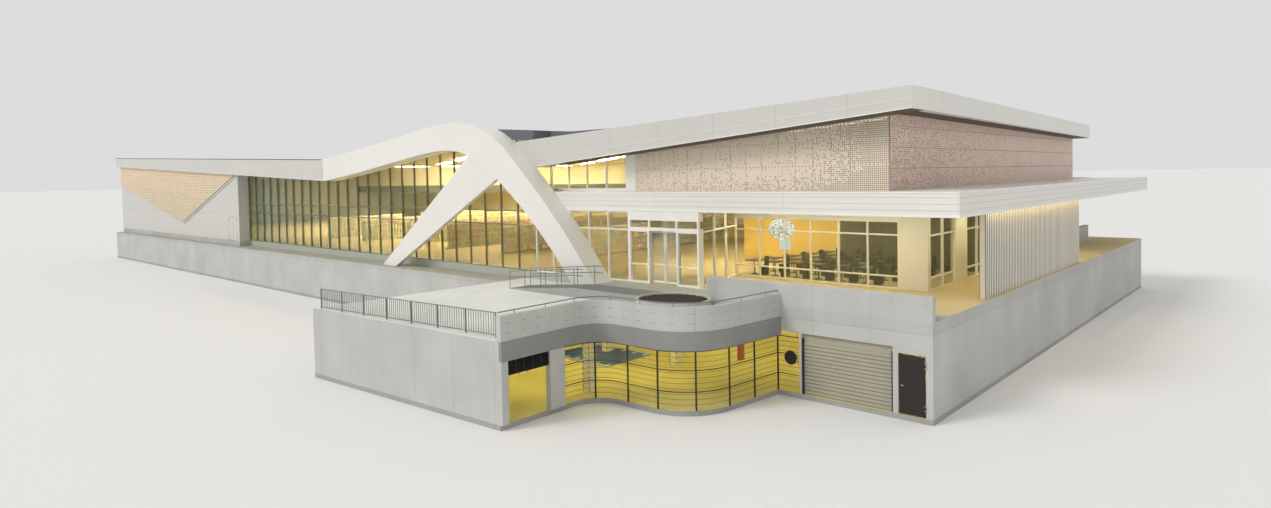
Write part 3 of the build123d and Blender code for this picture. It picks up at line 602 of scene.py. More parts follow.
class MARKET_OT_finishes(bpy.types.Operator):
    """Give every carried-over piece its finish"""
    bl_idname = "market.finishes"
    bl_label = "Finishes"

    def execute(self, context):
        finishes.update(make_finishes(context.scene.market_colours))
        for name, nodes in NODE_FINISHES.items():
            for node in nodes:
                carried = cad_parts[node]
                carried.data.materials.clear()
                carried.data.materials.append(finishes[name].material)
        return {"FINISHED"}


# Modelling by hand: a primitive at its place, shaped, and kept as a piece of the building

def choose(*pieces):
    bpy.ops.object.select_all(action="DESELECT")
    for piece in pieces:
        piece.select_set(True)
    bpy.context.view_layer.objects.active = pieces[0]


def settle(piece):
    """Put a piece's place into its mesh, and leave its object at the origin."""
    choose(piece)
    bpy.ops.object.transform_apply(location=True, rotation=True, scale=True)
    return piece


def start(add, scale=(1.0, 1.0, 1.0), **settings):
    """Add a primitive with nothing else selected, and stretch it."""
    bpy.ops.object.select_all(action="DESELECT")
    add(**settings)
    bpy.context.object.scale = scale
    return settle(bpy.context.object)


def shaped(piece, kind, **settings):
    """Add a modifier to a piece and apply it."""
    choose(piece)
    modifier = piece.modifiers.new(kind.lower(), kind)
    for name, value in settings.items():
        setattr(modifier, name, value)
    bpy.ops.object.modifier_apply(modifier=modifier.name)
    return piece


def bar(low, high, ease=0.0003):
    """A square-cut bar between two corners, with its edges eased."""
    low, high = Vector(low), Vector(high)
    piece = start(bpy.ops.mesh.primitive_cube_add, size=1.0, location=(low + high) / 2, scale=high - low)
    return shaped(piece, "BEVEL", width=ease, segments=1, limit_method="ANGLE") if ease else piece


def row(piece, count, step):
    """Repeat a piece in a row, as one mesh."""
    return shaped(piece, "ARRAY", count=count, use_relative_offset=False, use_constant_offset=True,
                  constant_offset_displace=step)


def joined(pieces):
    choose(*pieces)
    if len(pieces) > 1:
        bpy.ops.object.join()
    return pieces[0]


def laid(piece, first, last):
    """Turn a piece that runs along X from 0 so that it runs from one place towards another."""
    run = Vector(last) - Vector(first)
    level = Matrix.Rotation(math.atan2(run.y, run.x), 4, "Z")
    rise = Matrix.Rotation(-math.atan2(run.z, run.xy.length), 4, "Y")
    piece.matrix_world = Matrix.Translation(first) @ level @ rise
    return settle(piece)


def beam(first, last, depth, height, ease=0.0003):
    """A bar from one place to another, that stands out to the front by its depth."""
    length = (Vector(last) - Vector(first)).length
    return laid(bar((0.0, -depth, -height / 2), (length, 0.0, height / 2), ease), first, last)


def rod(place, radius, height, sides=8):
    """An upright round bar that stands on a place."""
    middle = Vector(place) + Vector((0.0, 0.0, height / 2))
    return start(bpy.ops.mesh.primitive_cylinder_add, vertices=sides, radius=radius, depth=height,
                 location=middle)


def tube(points, radius, sides=2):
    """A round rail through points, as a mesh."""
    line = bpy.data.curves.new("rail", "CURVE")
    line.dimensions = "3D"
    spline = line.splines.new("POLY")
    spline.points.add(len(points) - 1)
    for point, place in zip(spline.points, points):
        point.co = (*place, 1.0)
    line.bevel_depth = radius
    line.bevel_resolution = sides
    line.use_fill_caps = True
    rail = bpy.data.objects.new("rail", line)
    bpy.context.scene.collection.objects.link(rail)
    choose(rail)
    bpy.ops.object.convert(target="MESH")
    return bpy.context.object


def keep(piece, name, finish, body="building", stands_for=()):
    """Name a piece, give it its finish and let it ride on a body."""
    piece.name = name
    piece.data.materials.clear()
    piece.data.materials.append(finishes[finish].material)
    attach(piece, body)
    if stands_for:
        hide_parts(*stands_for)
    return piece


def heights_at(node, x):
    """The lowest and highest corner of a carried-over piece at one X."""
    near = [vertex.co.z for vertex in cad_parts[node].data.vertices if abs(vertex.co.x - x) < 0.002]
    return min(near), max(near)


def edge_track():
    """The curved edge of the terrace, as points from the front corner to the ledge."""
    corners = [Vector((HALL_RIGHT + x, LEDGE + y)) for x, y in EDGE_CORNERS]
    points = [corners[0]]
    for before, corner, after, bend in zip(corners, corners[1:], corners[2:], EDGE_BENDS):
        came, goes = (corner - before).normalized(), (after - corner).normalized()
        turn = came.angle_signed(goes)
        inset = bend * math.tan(abs(turn) / 2)
        count = round(abs(turn) / EDGE_BEND_STEP)
        side = Vector((came.y, -came.x)) * math.copysign(1.0, turn)
        middle = corner - came * inset + side * bend
        for number in range(count + 1):
            points.append(middle - Matrix.Rotation(-turn * number / count, 2) @ (side * bend))
    return points + [corners[-1]]


def track_length():
    points = edge_track()
    return sum((last - first).length for first, last in zip(points, points[1:]))


def on_track(distance, z, outward=0.0):
    """A place at a distance along the curved edge, moved to its outer side, and its heading."""
    points = edge_track()
    for first, last in zip(points, points[1:]):
        run = last - first
        if distance <= run.length or last == points[-1]:
            heading = run.normalized()
            place = first + heading * distance + Vector((heading.y, -heading.x)) * outward
            return Vector((place.x, place.y, z)), Vector((heading.x, heading.y, 0.0))
        distance -= run.length


def scatter(column, line):
    """A number from 0 to 1 that looks random but is the same each run."""
    value = math.sin(column * 12.9898 + line * 78.233) * 43758.5453
    return value - math.floor(value)


def delete_faces(piece, chosen, inset=0.0):
    """Delete the faces of a piece that are chosen, or a square in the middle of each."""
    mesh = piece.data
    mesh.vertices.foreach_set("select", [False] * len(mesh.vertices))
    mesh.edges.foreach_set("select", [False] * len(mesh.edges))
    mesh.polygons.foreach_set("select", [chosen(face.center) for face in mesh.polygons])
    choose(piece)
    bpy.context.tool_settings.mesh_select_mode = (False, False, True)
    bpy.ops.object.mode_set(mode="EDIT")
    if inset:
        bpy.ops.mesh.inset(thickness=inset, use_individual=True)
    bpy.ops.mesh.delete(type="FACE")
    bpy.ops.object.mode_set(mode="OBJECT")
    return piece


def cut_off(piece, place, outward):
    """Cut a sheet along a plane and drop what lies beyond it."""
    choose(piece)
    bpy.ops.object.mode_set(mode="EDIT")
    bpy.ops.mesh.select_all(action="SELECT")
    bpy.ops.mesh.bisect(plane_co=place, plane_no=outward, clear_outer=True)
    bpy.ops.object.mode_set(mode="OBJECT")
    return piece


def punched(columns, rows, size, hole, chosen):
    """A level sheet from 0, 0 with square holes in the cells that are chosen by their column and row."""
    sheet = start(bpy.ops.mesh.primitive_grid_add, x_subdivisions=columns, y_subdivisions=rows, size=1.0,
                  location=(size[0] / 2, size[1] / 2, 0.0), scale=(size[0], size[1], 1.0))
    across, up = size[0] / columns, size[1] / rows
    return delete_faces(sheet, lambda middle: chosen(int(middle.x / across), int(middle.y / up)),
                        (min(across, up) - hole) / 2)


def stood_up(sheet, corner, along):
    """Stand a level sheet up at a corner, so that it runs along a level direction and faces to its right."""
    up = Vector((0.0, 0.0, 1.0))
    turned = Matrix((along, up, along.cross(up))).transposed().to_4x4()
    sheet.matrix_world = Matrix.Translation(corner) @ turned
    return settle(sheet)


class MARKET_OT_cladding(bpy.types.Operator):
    """Hang the perforated bronze sheets on the upper walls and on the left wing"""
    bl_idname = "market.cladding"
    bl_label = "Perforated cladding"

    def execute(self, context):
        sizes = context.scene.market_pieces
        front_sheets(sizes)
        side_sheets(sizes)
        wing_sheet(sizes)
        return {"FINISHED"}


def fascia_foot():
    """The lower edge of the fascia: its right end and its slope."""
    low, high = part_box("right_fascia")
    right = heights_at("right_fascia", high.x)[0]
    return Vector((high.x, low.y, right)), (right - low.z) / (high.x - CURTAIN_END)


def front_sheets(sizes):
    """Panels over the entrance, with dense holes low down and at the right, and a light under the fascia."""
    low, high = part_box("front_cladding")
    pitch = sizes.hole_pitch
    count = round((high.x - low.x) / (pitch * sizes.holes_per_panel))
    width = (high.x - low.x) / count
    across = width / sizes.holes_per_panel
    rows = round((high.z - low.z) / pitch)
    foot, slope = fascia_foot()
    gap, seam_rows, top_row = 0.0008, (12, 24), (0.4 * pitch, 1.5 * pitch)
    low_rows, right_from, right_over = 9.0, 0.62, 0.33
    fewest, more_low, more_right, at_edge = 0.08, 0.40, 0.3, 0.30
    panels = []
    for panel in range(count):

        def chosen(column, line):
            x = low.x + panel * width + (column + 0.5) * across
            below = foot.z - slope * (foot.x - x) - low.z - (line + 0.5) * pitch
            if line in seam_rows or top_row[0] < below < top_row[1]:
                return column % 2 == 0
            low_share = max(0.0, 1.0 - line / low_rows)
            right_share = max(0.0, (x - low.x) / (high.x - low.x) - right_from) / right_over
            edge = at_edge if column == 0 else 0.0
            chance = fewest + (more_low + more_right * right_share) * low_share + right_share ** 2 + edge
            return scatter(column + panel * 31, line) < chance

        sheet = punched(sizes.holes_per_panel, rows, (width - gap, high.z - low.z), pitch * 0.48, chosen)
        corner = (low.x + panel * width, low.y - sizes.sheet_gap - sizes.sheet, low.z)
        panels.append(stood_up(sheet, corner, Vector((1.0, 0.0, 0.0))))
    sheets = cut_off(joined(panels), foot, (-slope, 0.0, 1.0))
    shaped(sheets, "SOLIDIFY", thickness=sizes.sheet, offset=-1.0)
    keep(sheets, "front_perforated_sheets", "bronze")
    light, proud = (4.30, high.x - 0.01), 0.0003
    ends = [Vector((x, low.y - proud, foot.z - slope * (foot.x - x) - pitch)) for x in light]
    keep(beam(*ends, 0.0012, pitch, 0.0002), "fascia_strip_light", "glow")


def side_sheets(sizes):
    """Panels of the side: dense holes at the front corner, thinning out towards the back."""
    low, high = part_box("side_cladding")
    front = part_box("front_cladding")[0].y - sizes.sheet_gap - sizes.sheet
    count, gap, seam_rows = 12, 0.0012, (10, 20, 30)
    most, fall, fewest = 0.52, 0.75, 0.03
    width = (high.y - front) / count
    columns = round(width / sizes.side_pitch)
    rows = round((high.z - low.z) / sizes.hole_pitch)
    panels = []
    for panel in range(count):

        def chosen(column, line):
            if line in seam_rows:
                return True
            chance = most - fall * panel / (count - 1)
            return scatter(column + panel * 37 + 5, line) < max(fewest, chance)

        sheet = punched(columns, rows, (width - gap, high.z - low.z), sizes.hole_pitch * 0.42, chosen)
        corner = (HALL_RIGHT + sizes.sheet_gap + sizes.sheet, front + panel * width, low.z)
        panels.append(stood_up(sheet, corner, Vector((0.0, 1.0, 0.0))))
    low_edge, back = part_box("side_fascia")
    slope = (heights_at("right_fascia", back.x)[0] - low_edge.z) / (back.y - low_edge.y)
    sheets = cut_off(joined(panels), (low_edge.x, back.y, low_edge.z), (0.0, slope, 1.0))
    shaped(sheets, "SOLIDIFY", thickness=sizes.sheet, offset=-1.0)
    keep(sheets, "side_perforated_sheets", "bronze_dark")


def wing_sheet(sizes):
    """One perforated sheet in the outline of the left wing's panel, with a dark and a pale edge."""
    low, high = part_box("triangle_panel")
    front = [vertex.co.copy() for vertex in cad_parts["triangle_panel"].data.vertices
             if vertex.co.y < low.y + 0.0001]
    ends = [place for place in front if place.x < low.x + 0.001]
    apex = min(front, key=lambda place: place.z)
    left_low, left_high = (pick(ends, key=lambda place: place.z) for pick in (min, max))
    right = max(front, key=lambda place: place.x)
    columns = round((high.x - low.x) / sizes.wing_pitch)
    rows = round((high.z - low.z) / sizes.wing_pitch)
    sheet = punched(columns, rows, (high.x - low.x, high.z - low.z), sizes.wing_pitch * 0.34,
                    lambda column, line: (column + line) % 2 == 0 or scatter(column, line) < 0.35)
    stood_up(sheet, (low.x, low.y - sizes.sheet_gap - sizes.sheet, low.z), Vector((1.0, 0.0, 0.0)))
    for first, last, inset in ((left_low, apex, 0.0), (apex, right, 0.010), (right, left_high, 0.0)):
        outward = Vector((last.z - first.z, 0.0, first.x - last.x)).normalized()
        cut_off(sheet, first - outward * inset, outward)
    shaped(sheet, "SOLIDIFY", thickness=sizes.sheet, offset=-1.0)
    keep(sheet, "wing_perforated_sheet", "bronze_wing")
    lift, depth, height = Vector((0.0, 0.0, 0.005)), 0.0045, 0.009
    keep(beam(apex + lift, right + lift, depth, height), "wing_panel_edge", "backing")
    keep(beam(apex - lift, right - lift, depth, height), "wing_panel_trim", "trim")


class MARKET_OT_screen_fins(bpy.types.Operator):
    """Stand the vertical fins on both faces of the ribbed screen wall"""
    bl_idname = "market.screen_fins"
    bl_label = "Screen fins"

    def execute(self, context):
        sizes = context.scene.market_pieces
        low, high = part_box("screen_wall")
        count = int((high.y - low.y) / sizes.fin_pitch)
        y = [low.y + sizes.fin_pitch * share for share in (0.22, 0.66)]
        fins = []
        for x in ((high.x, high.x + sizes.fin_depth), (low.x - sizes.fin_depth, low.x)):
            fin = bar((x[0], y[0], low.z), (x[1], y[1], high.z), 0.0008)
            fins.append(row(fin, count, (0.0, sizes.fin_pitch, 0.0)))
        keep(joined(fins), "screen_wall_fins", "fin")
        return {"FINISHED"}


class MARKET_OT_trims(bpy.types.Operator):
    """Add the cover strips of fascia and band, the soffits, the canopies' edges and the roof flashings"""
    bl_idname = "market.trims"
    bl_label = "Trims"

    def execute(self, context):
        fascia_strips()
        band_strips()
        soffits()
        canopy_trims()
        roof_flashings()
        return {"FINISHED"}


def fascia_strips():
    """A joint along the fascia, parallel to its lower edge, and a drip edge under it."""
    foot, slope = fascia_foot()
    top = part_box("right_fascia")[1].z
    strips = []
    for share, left, height in ((0.46, 2.735, 0.0022), (0.03, 2.79, 0.004)):
        right = foot + Vector((0.0, 0.0, (top - foot.z) * share))
        start_place = right - Vector((right.x - left, 0.0, slope * (right.x - left)))
        strips.append(beam(start_place, right, 0.0014, height))
    keep(joined(strips), "fascia_cover_strips", "trim")


def band_strips():
    """Fine joints along the roof band, and a dark cap along its top."""
    low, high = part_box("roof_band")
    left, right = heights_at("roof_band", low.x), heights_at("roof_band", high.x)
    strips = []
    for share in (0.04, 0.94):
        first = (low.x, low.y, left[0] + (left[1] - left[0]) * share)
        last = (high.x, low.y, right[0] + (right[1] - right[0]) * share)
        strips.append(beam(first, last, 0.0012, 0.0022))
    keep(joined(strips), "band_cover_strips", "trim")
    slope = (right[1] - left[1]) / (high.x - low.x)
    y, end, thick = low.y + 0.004, high.x - 0.03, 0.006
    last = (end, y, left[1] + slope * (end - low.x) - thick / 2)
    cap = beam((low.x, y, left[1] - thick / 2), last, thick, thick)
    keep(cap, "band_cap", "soffit")


def soffits():
    """Sheets under the overhanging edges of the fascias, dark as painted shade."""
    foot, slope = fascia_foot()
    low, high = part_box("side_fascia")
    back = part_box("front_cladding")[0].y
    left, end_gap, thick = 2.95, 0.006, 0.0016
    front_reach, side_reach = 0.118, 0.098
    drop = Vector((0.0, 0.0, -thick / 2))
    first = Vector((left, back, foot.z - slope * (foot.x - left)))
    last = Vector((foot.x - end_gap, back, foot.z - slope * end_gap))
    pieces = [beam(first + drop, last + drop, front_reach, thick)]
    first, last = Vector((low.x, back, foot.z)), Vector((low.x, high.y - end_gap, low.z))
    pieces.append(beam(first + drop, last + drop, side_reach, thick))
    keep(joined(pieces), "fascia_soffits", "soffit")


def canopy_trims():
    """Drip edges along the foot of both canopies and a flashing along their tops."""
    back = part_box("side_canopy")[1].y
    proud, drip, flashing = 0.002, 0.010, 0.006
    strips = []
    for z, height in ((CANOPY_LOW.z, drip), (CANOPY_HIGH.z - flashing, flashing)):
        strips.append(bar((CANOPY_LOW.x, CANOPY_LOW.y - proud, z),
                          (CANOPY_HIGH.x + proud, CANOPY_LOW.y, z + height)))
        strips.append(bar((CANOPY_HIGH.x, CANOPY_LOW.y, z), (CANOPY_HIGH.x + proud, back, z + height)))
    keep(joined(strips), "canopy_trims", "trim")


def roof_flashings():
    """Metal flashings along the back edges of the roof sheets, and dark ones where they meet in front."""
    proud, lap, depth, height = 0.002, 0.003, 0.016, 0.010
    strips = []
    for node in ("main_roof", "right_roof"):
        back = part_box(node)[1].y + proud
        ends = sorted({round(vertex.co.x, 4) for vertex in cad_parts[node].data.vertices})
        for first, last in zip(ends, ends[1:]):
            places = [Vector((x, back, heights_at(node, x)[1] - lap)) for x in (first, last)]
            strips.append(beam(*places, depth, height))
    keep(joined(strips), "roof_back_flashing", "galvanised")
    reach, drop, rise = 0.26, Vector((0.0, proud, 0.015)), 0.012
    ends = [roof_underside(x, GLASS_FRONT + proud) - drop for x in (CURTAIN_END - reach, CURTAIN_END - proud)]
    pieces = [beam(*ends, 0.0035, 0.030)]
    front, cladding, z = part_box("right_roof")[0].y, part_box("front_cladding")[0].x, ends[1].z + rise
    corners = ((CURTAIN_END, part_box("main_roof")[0].y), (CURTAIN_END, front), (cladding, front))
    ends = [Vector((*corner, z)) for corner in corners]
    pieces += [beam(first, last, 0.003, 0.040) for first, last in zip(ends, ends[1:])]
    keep(joined(pieces), "roof_front_flashing", "roof")


class MARKET_OT_railings(bpy.types.Operator):
    """Add the balusters, the handrails of the ramp and the rail over the parapet"""
    bl_idname = "market.railings"
    bl_label = "Railings"

    def execute(self, context):
        sizes = context.scene.market_pieces
        terrace_balusters(sizes)
        parapet_rail(sizes)
        ramp_rails(sizes)
        return {"FINISHED"}


def terrace_balusters(sizes):
    low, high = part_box("terrace_railing")
    inset, lift, radius = 0.002, 0.010, 0.0013
    first = Vector((low.x, low.y + inset, DECK + lift))
    run = Vector((high.x, high.y - inset, first.z)) - first
    count = int(run.length / sizes.baluster_pitch)
    one = rod(first, radius, high.z - first.z - inset, 6)
    row(one, count, run / count)
    keep(one, "terrace_balusters", "railing")


def parapet_rail(sizes):
    """A rail on short posts over the curved parapet."""
    lift, count = 0.014, 9
    pieces = [tube([(place.x, place.y, PARAPET_TOP + lift) for place in edge_track()], sizes.rail)]
    for number in range(count):
        place = on_track((number + 0.5) / count * track_length(), PARAPET_TOP)[0]
        pieces.append(rod(place, 0.0014, lift))
    keep(joined(pieces), "parapet_rail", "railing")


def ramp_rails(sizes):
    """Handrails on posts on both sides of the ramp."""
    low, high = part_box("entrance_ramp")
    knee = min(vertex.co.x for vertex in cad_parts["entrance_ramp"].data.vertices
               if vertex.co.z > high.z - 0.001)
    rise, first, inset, beyond = 0.09, low.x + 0.01, 0.006, 0.06
    pieces = []
    for y in (low.y + inset, high.y - inset):
        for drop in (0.0, 0.030):
            pieces.append(tube([(first, y, low.z + rise - drop), (knee, y, high.z + rise - drop),
                                (knee + beyond, y, high.z + rise - drop)], sizes.rail))
        for share in (0.0, 0.25, 0.5, 0.75, 1.0):
            foot = (first + (knee - first) * share, y, low.z + (high.z - low.z) * share)
            pieces.append(rod(foot, 0.0018, rise))
    keep(joined(pieces), "ramp_handrails", "railing")


class MARKET_OT_garage(bpy.types.Operator):
    """Dress the garage front: shutter slats, grille, wires, lamps, fittings and floor paint"""
    bl_idname = "market.garage"
    bl_label = "Garage front"

    def execute(self, context):
        shutter_slats(context.scene.market_pieces)
        grille_blades()
        screen_wires()
        garage_lamps()
        garage_fittings()
        floor_paint()
        return {"FINISHED"}


def shutter_slats(sizes):
    """The curtain of slats in front of the shutter's plate, and its guides."""
    low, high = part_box("roller_shutter")
    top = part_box("garage_lintel")[0].z
    deep, joint, guide = 0.004, 0.0012, 0.006
    slat = bar((low.x, low.y - deep, low.z + joint), (high.x, low.y, low.z + sizes.slat - joint), 0.0025)
    row(slat, int((top - low.z) / sizes.slat), (0.0, 0.0, sizes.slat))
    keep(slat, "shutter_slats", "shutter")
    guides = [bar((x, LEDGE + 0.002, low.z), (x + guide, low.y - deep, top), 0.0006)
              for x in (low.x, high.x - guide)]
    keep(joined(guides), "shutter_guides", "steel")


def grille_blades():
    """A black frame with tilted blades in place of the plain vent grille."""
    low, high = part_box("vent_grille")
    length, height = high.y - low.y, high.z - low.z
    half, edge, uprights = 0.004, 0.004, 6
    blades, blade_half, blade_thick, tilt = 9, 0.0038, 0.0014, math.radians(-40)
    from_corner = 0.030
    pieces = [bar((0.0, -half, z), (length, half, z + edge)) for z in (0.0, height - edge)]
    upright = bar((0.0, -half, edge), (edge, half, height - edge))
    pieces.append(row(upright, uprights, ((length - edge) / (uprights - 1), 0.0, 0.0)))
    blade = bar((edge, -blade_half, edge), (length - edge, blade_half, edge + blade_thick), 0.0002)
    choose(blade)
    bpy.ops.object.mode_set(mode="EDIT")
    bpy.ops.mesh.select_all(action="SELECT")
    bpy.ops.transform.rotate(value=tilt, orient_axis="X", center_override=(length / 2, 0.0, edge + 0.003))
    bpy.ops.object.mode_set(mode="OBJECT")
    pieces.append(row(blade, blades, (0.0, 0.0, (height - 2 * edge) / blades)))
    first, heading = on_track(from_corner, low.z)
    grille = laid(joined(pieces), first, first + heading)
    keep(grille, "vent_grille_blades", "black", stands_for=("vent_grille",))


def screen_wires():
    """Thin wires between the screen's rails, along the curve and across the straight bay."""
    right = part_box("garage_screen")[1].x
    first, total, steps = 0.307, track_length(), 26
    count, lowest, pitch, radius = 11, 0.022, 0.0198, 0.0007
    wires = []
    for number in range(count):
        z = GARAGE + lowest + pitch * number
        places = [on_track(first + (total - first) * step / steps, z)[0] for step in range(steps + 1)]
        wires.append(tube(places + [(right, LEDGE + 0.0015, z)], radius, 0))
    keep(joined(wires), "screen_wires", "wire")


def garage_lamps():
    """Long lamps under the terrace and under the store floor."""
    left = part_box("terrace_slab")[0].x + 0.25
    length, width, thick, pitch = 0.15, 0.016, 0.008, 0.33
    lamps = []
    for y, ceiling, count in ((LEDGE - 0.62, "terrace_slab", 3), (LEDGE - 0.20, "terrace_slab", 4),
                              (LEDGE + 0.35, "store_floor", 6), (LEDGE + 0.95, "store_floor", 6),
                              (LEDGE + 1.7, "store_floor", 6)):
        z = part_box(ceiling)[0].z
        one = bar((left, y, z - thick), (left + length, y + width, z), 0.001)
        lamps.append(row(one, count, (pitch, 0.0, 0.0)))
    keep(joined(lamps), "garage_lamps", "garage_lamp")


def garage_fittings():
    """A red cabinet hung inside the screen, and a round plate on its straight bay."""
    inward, foot, size = 0.006, GARAGE + 0.155, (0.030, 0.012, 0.070)
    place, heading = on_track(track_length() - CABINET_FROM_LEDGE, foot, -inward)
    cabinet = bar((0.0, 0.0, 0.0), size, 0.001)
    keep(laid(cabinet, place, place + heading), "garage_cabinet", "cabinet")
    middle = (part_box("garage_screen")[1].x - 0.037, LEDGE - 0.002, GARAGE + 0.138)
    disc = start(bpy.ops.mesh.primitive_cylinder_add, vertices=40, radius=0.028, depth=0.004,
                 location=middle, rotation=(math.radians(90), 0.0, 0.0))
    shaped(disc, "BEVEL", width=0.0012, segments=2, limit_method="ANGLE")
    keep(disc, "garage_disc", "black")


def floor_paint():
    """A painted walkway with white bars on the garage floor."""
    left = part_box("garage_columns")[0].x + 0.292
    x, y = (left, left + 0.40), (LEDGE - 0.175, LEDGE + 0.15)
    thick, line, margin, bar_end = 0.0006, 0.010, 0.016, 0.05
    count, pitch = 6, 0.07
    field = bar((x[0], y[0], GARAGE), (x[1], y[1], GARAGE + thick), 0.0002)
    keep(field, "painted_walkway", "paint_blue")
    z = (GARAGE + thick, GARAGE + 2 * thick)
    lines = [bar((x[0], edge, z[0]), (x[1], edge + line, z[1]), 0.0001)
             for edge in (y[0] + line, y[1] - margin)]
    for span in ((y[0] + margin, y[0] + bar_end), (y[1] - bar_end, y[1] - margin)):
        one = bar((x[0] + 0.02, span[0], z[0]), (x[0] + 0.032, span[1], z[1]), 0.0001)
        lines.append(row(one, count, (pitch, 0.0, 0.0)))
    keep(joined(lines), "painted_bars", "paint_white")


class MARKET_OT_doors(bpy.types.Operator):
    """Build the sliding leaves with their glass, and put handles on the hinged leaves"""
    bl_idname = "market.doors"
    bl_label = "Doors"

    def execute(self, context):
        for side in ("left", "right"):
            sliding_leaf(side)
            service_handle(side)
        garage_handle()
        return {"FINISHED"}


def sliding_leaf(side):
    """A framed leaf with a mid rail, a clear pane, hangers and an upright pull."""
    low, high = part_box(side + "_leaf")
    stile, rail, mid_rail, top = 0.005, 0.010, 0.088, high.z - 0.005
    inner = (low.x + stile, high.x - stile)
    body = side + "_sliding_leaf"
    pieces = [bar((x, low.y, low.z), (x + stile, high.y, top), 0.0006) for x in (low.x, inner[1])]
    for z, height in ((low.z, rail), (low.z + mid_rail, stile), (top - stile, stile)):
        pieces.append(bar((inner[0], low.y, z), (inner[1], high.y, z + height), 0.0006))
    for x in (low.x + 0.010, high.x - 0.015):
        pieces.append(bar((x, low.y + 0.001, top), (x + stile, high.y - 0.001, high.z), 0.0004))
    keep(joined(pieces), side + "_leaf_frame", "white_frame", body, (side + "_leaf",))
    middle = (low.y + high.y) / 2
    pane = bar((inner[0], middle - 0.001, low.z + rail), (inner[1], middle + 0.001, top - stile))
    keep(pane, side + "_leaf_pane", "leaf_glass", body, (side + "_leaf",))
    x = high.x - 0.003 if side == "left" else low.x + 0.003
    out = low.y - 0.0025
    pull = tube([(x, low.y, low.z + 0.10), (x, out, low.z + 0.102), (x, out, low.z + 0.148),
                 (x, low.y, low.z + 0.15)], 0.0009)
    keep(pull, side + "_leaf_pull", "galvanised", body)


def lever(x, y, z, reach):
    """A lever handle on a rose, pointing along X by its reach."""
    rose = start(bpy.ops.mesh.primitive_cylinder_add, vertices=16, radius=0.0028, depth=0.0012,
                 location=(x, y - 0.0006, z), rotation=(math.radians(90), 0.0, 0.0))
    out = y - 0.0055
    arm = tube([(x, y - 0.001, z), (x, y - 0.0045, z), (x + reach * 0.25, out, z),
                (x + reach, out, z)], 0.0009)
    return joined([rose, arm])


def service_handle(side):
    low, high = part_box("service_" + side + "_leaf")
    x = high.x - LEVER_INSET if side == "left" else low.x + LEVER_INSET
    reach = -LEVER_REACH if side == "left" else LEVER_REACH
    handle = lever(x, high.y - LEAF_DEPTH, low.z + LEVER_HEIGHT, reach)
    keep(handle, "service_" + side + "_handle", "galvanised", side + "_service_leaf")


def garage_handle():
    """A lever and a raised rim on the garage's dark door."""
    low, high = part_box("garage_door")
    y = high.y - LEAF_DEPTH
    handle = lever(low.x + LEVER_INSET, y, low.z + LEVER_HEIGHT, LEVER_REACH)
    keep(handle, "garage_door_handle", "galvanised", "garage_leaf")
    x, z = (low.x + 0.014, low.x + 0.076), (low.z + 0.010, low.z + 0.198)
    proud, width = 0.0008, 0.002
    rim = [bar((x[0], y - proud, level), (x[1], y, level + width), 0.0002) for level in z]
    rim += [bar((place, y - proud, z[0]), (place + width, y, z[1]), 0.0002) for place in x]
    keep(joined(rim), "garage_door_rim", "steel", "garage_leaf")


class MARKET_OT_interior(bpy.types.Operator):
    """Add the lamps, and behind the glass the shelves, the cafe's ceiling, walls, tables and lit disc"""
    bl_idname = "market.interior"
    bl_label = "Interior"

    def execute(self, context):
        hall_lamps()
        hall_shelves()
        cafe_ceiling()
        cafe_room()
        canopy_lamps()
        cafe_disc()
        return {"FINISHED"}


def roof_underside(x, y):
    """The place on the main roof's underside over a place."""
    hit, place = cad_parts["main_roof"].ray_cast((x, y, STORE), (0.0, 0.0, 1.0))[:2]
    if not hit:
        raise ValueError("no roof over %.3f, %.3f" % (x, y))
    return place


def hall_lamps():
    """Rows of long lamps under the main roof, following its slope."""
    first, spacing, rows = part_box("main_glass")[0].x + 0.12, 0.50, (0.85, 1.4, 1.95, 2.5)
    length, width, thick, drop = 0.40, 0.060, 0.005, Vector((0.0, 0.0, -0.006))
    lamps = []
    for number in range(-4, 5):
        x = first + number * spacing
        for inward in rows:
            ends = [roof_underside(px, GLASS_FRONT + inward) + drop for px in (x, x + length)]
            lamps.append(beam(*ends, width, thick, 0.001))
    keep(joined(lamps), "hall_lamps", "lamp")


def hall_shelves():
    """Double rows of shelves with boxed goods, standing on the hall's floor."""
    left, spacing, length, height = -0.90, 0.66, 0.8, 0.19
    web, half, levels, level_pitch = 0.002, 0.030, 4, 0.045
    box_foot, box_top, box_width, box_pitch = 0.009, 0.043, 0.023, 0.029
    racks, boxes = [], []
    for number in range(6):
        x = left + spacing * number
        for y in (GLASS_FRONT + 0.55, GLASS_FRONT + 1.55):
            racks.append(bar((x - web, y, STORE), (x + web, y + length, STORE + height), 0.0005))
            shelf = bar((x - half, y, STORE + 0.006), (x + half, y + length, STORE + box_foot), 0.0005)
            racks.append(row(shelf, levels, (0.0, 0.0, level_pitch)))
            for side in (-0.027, 0.004):
                box = bar((x + side, y + 0.008, STORE + box_foot),
                          (x + side + box_width, y + 0.032, STORE + box_top), 0.0006)
                shelved = row(box, 27, (0.0, box_pitch, 0.0))
                boxes.append(row(shelved, levels, (0.0, 0.0, level_pitch)))
    keep(joined(racks), "hall_shelves", "white_frame")
    keep(joined(boxes), "shelved_goods", "goods")


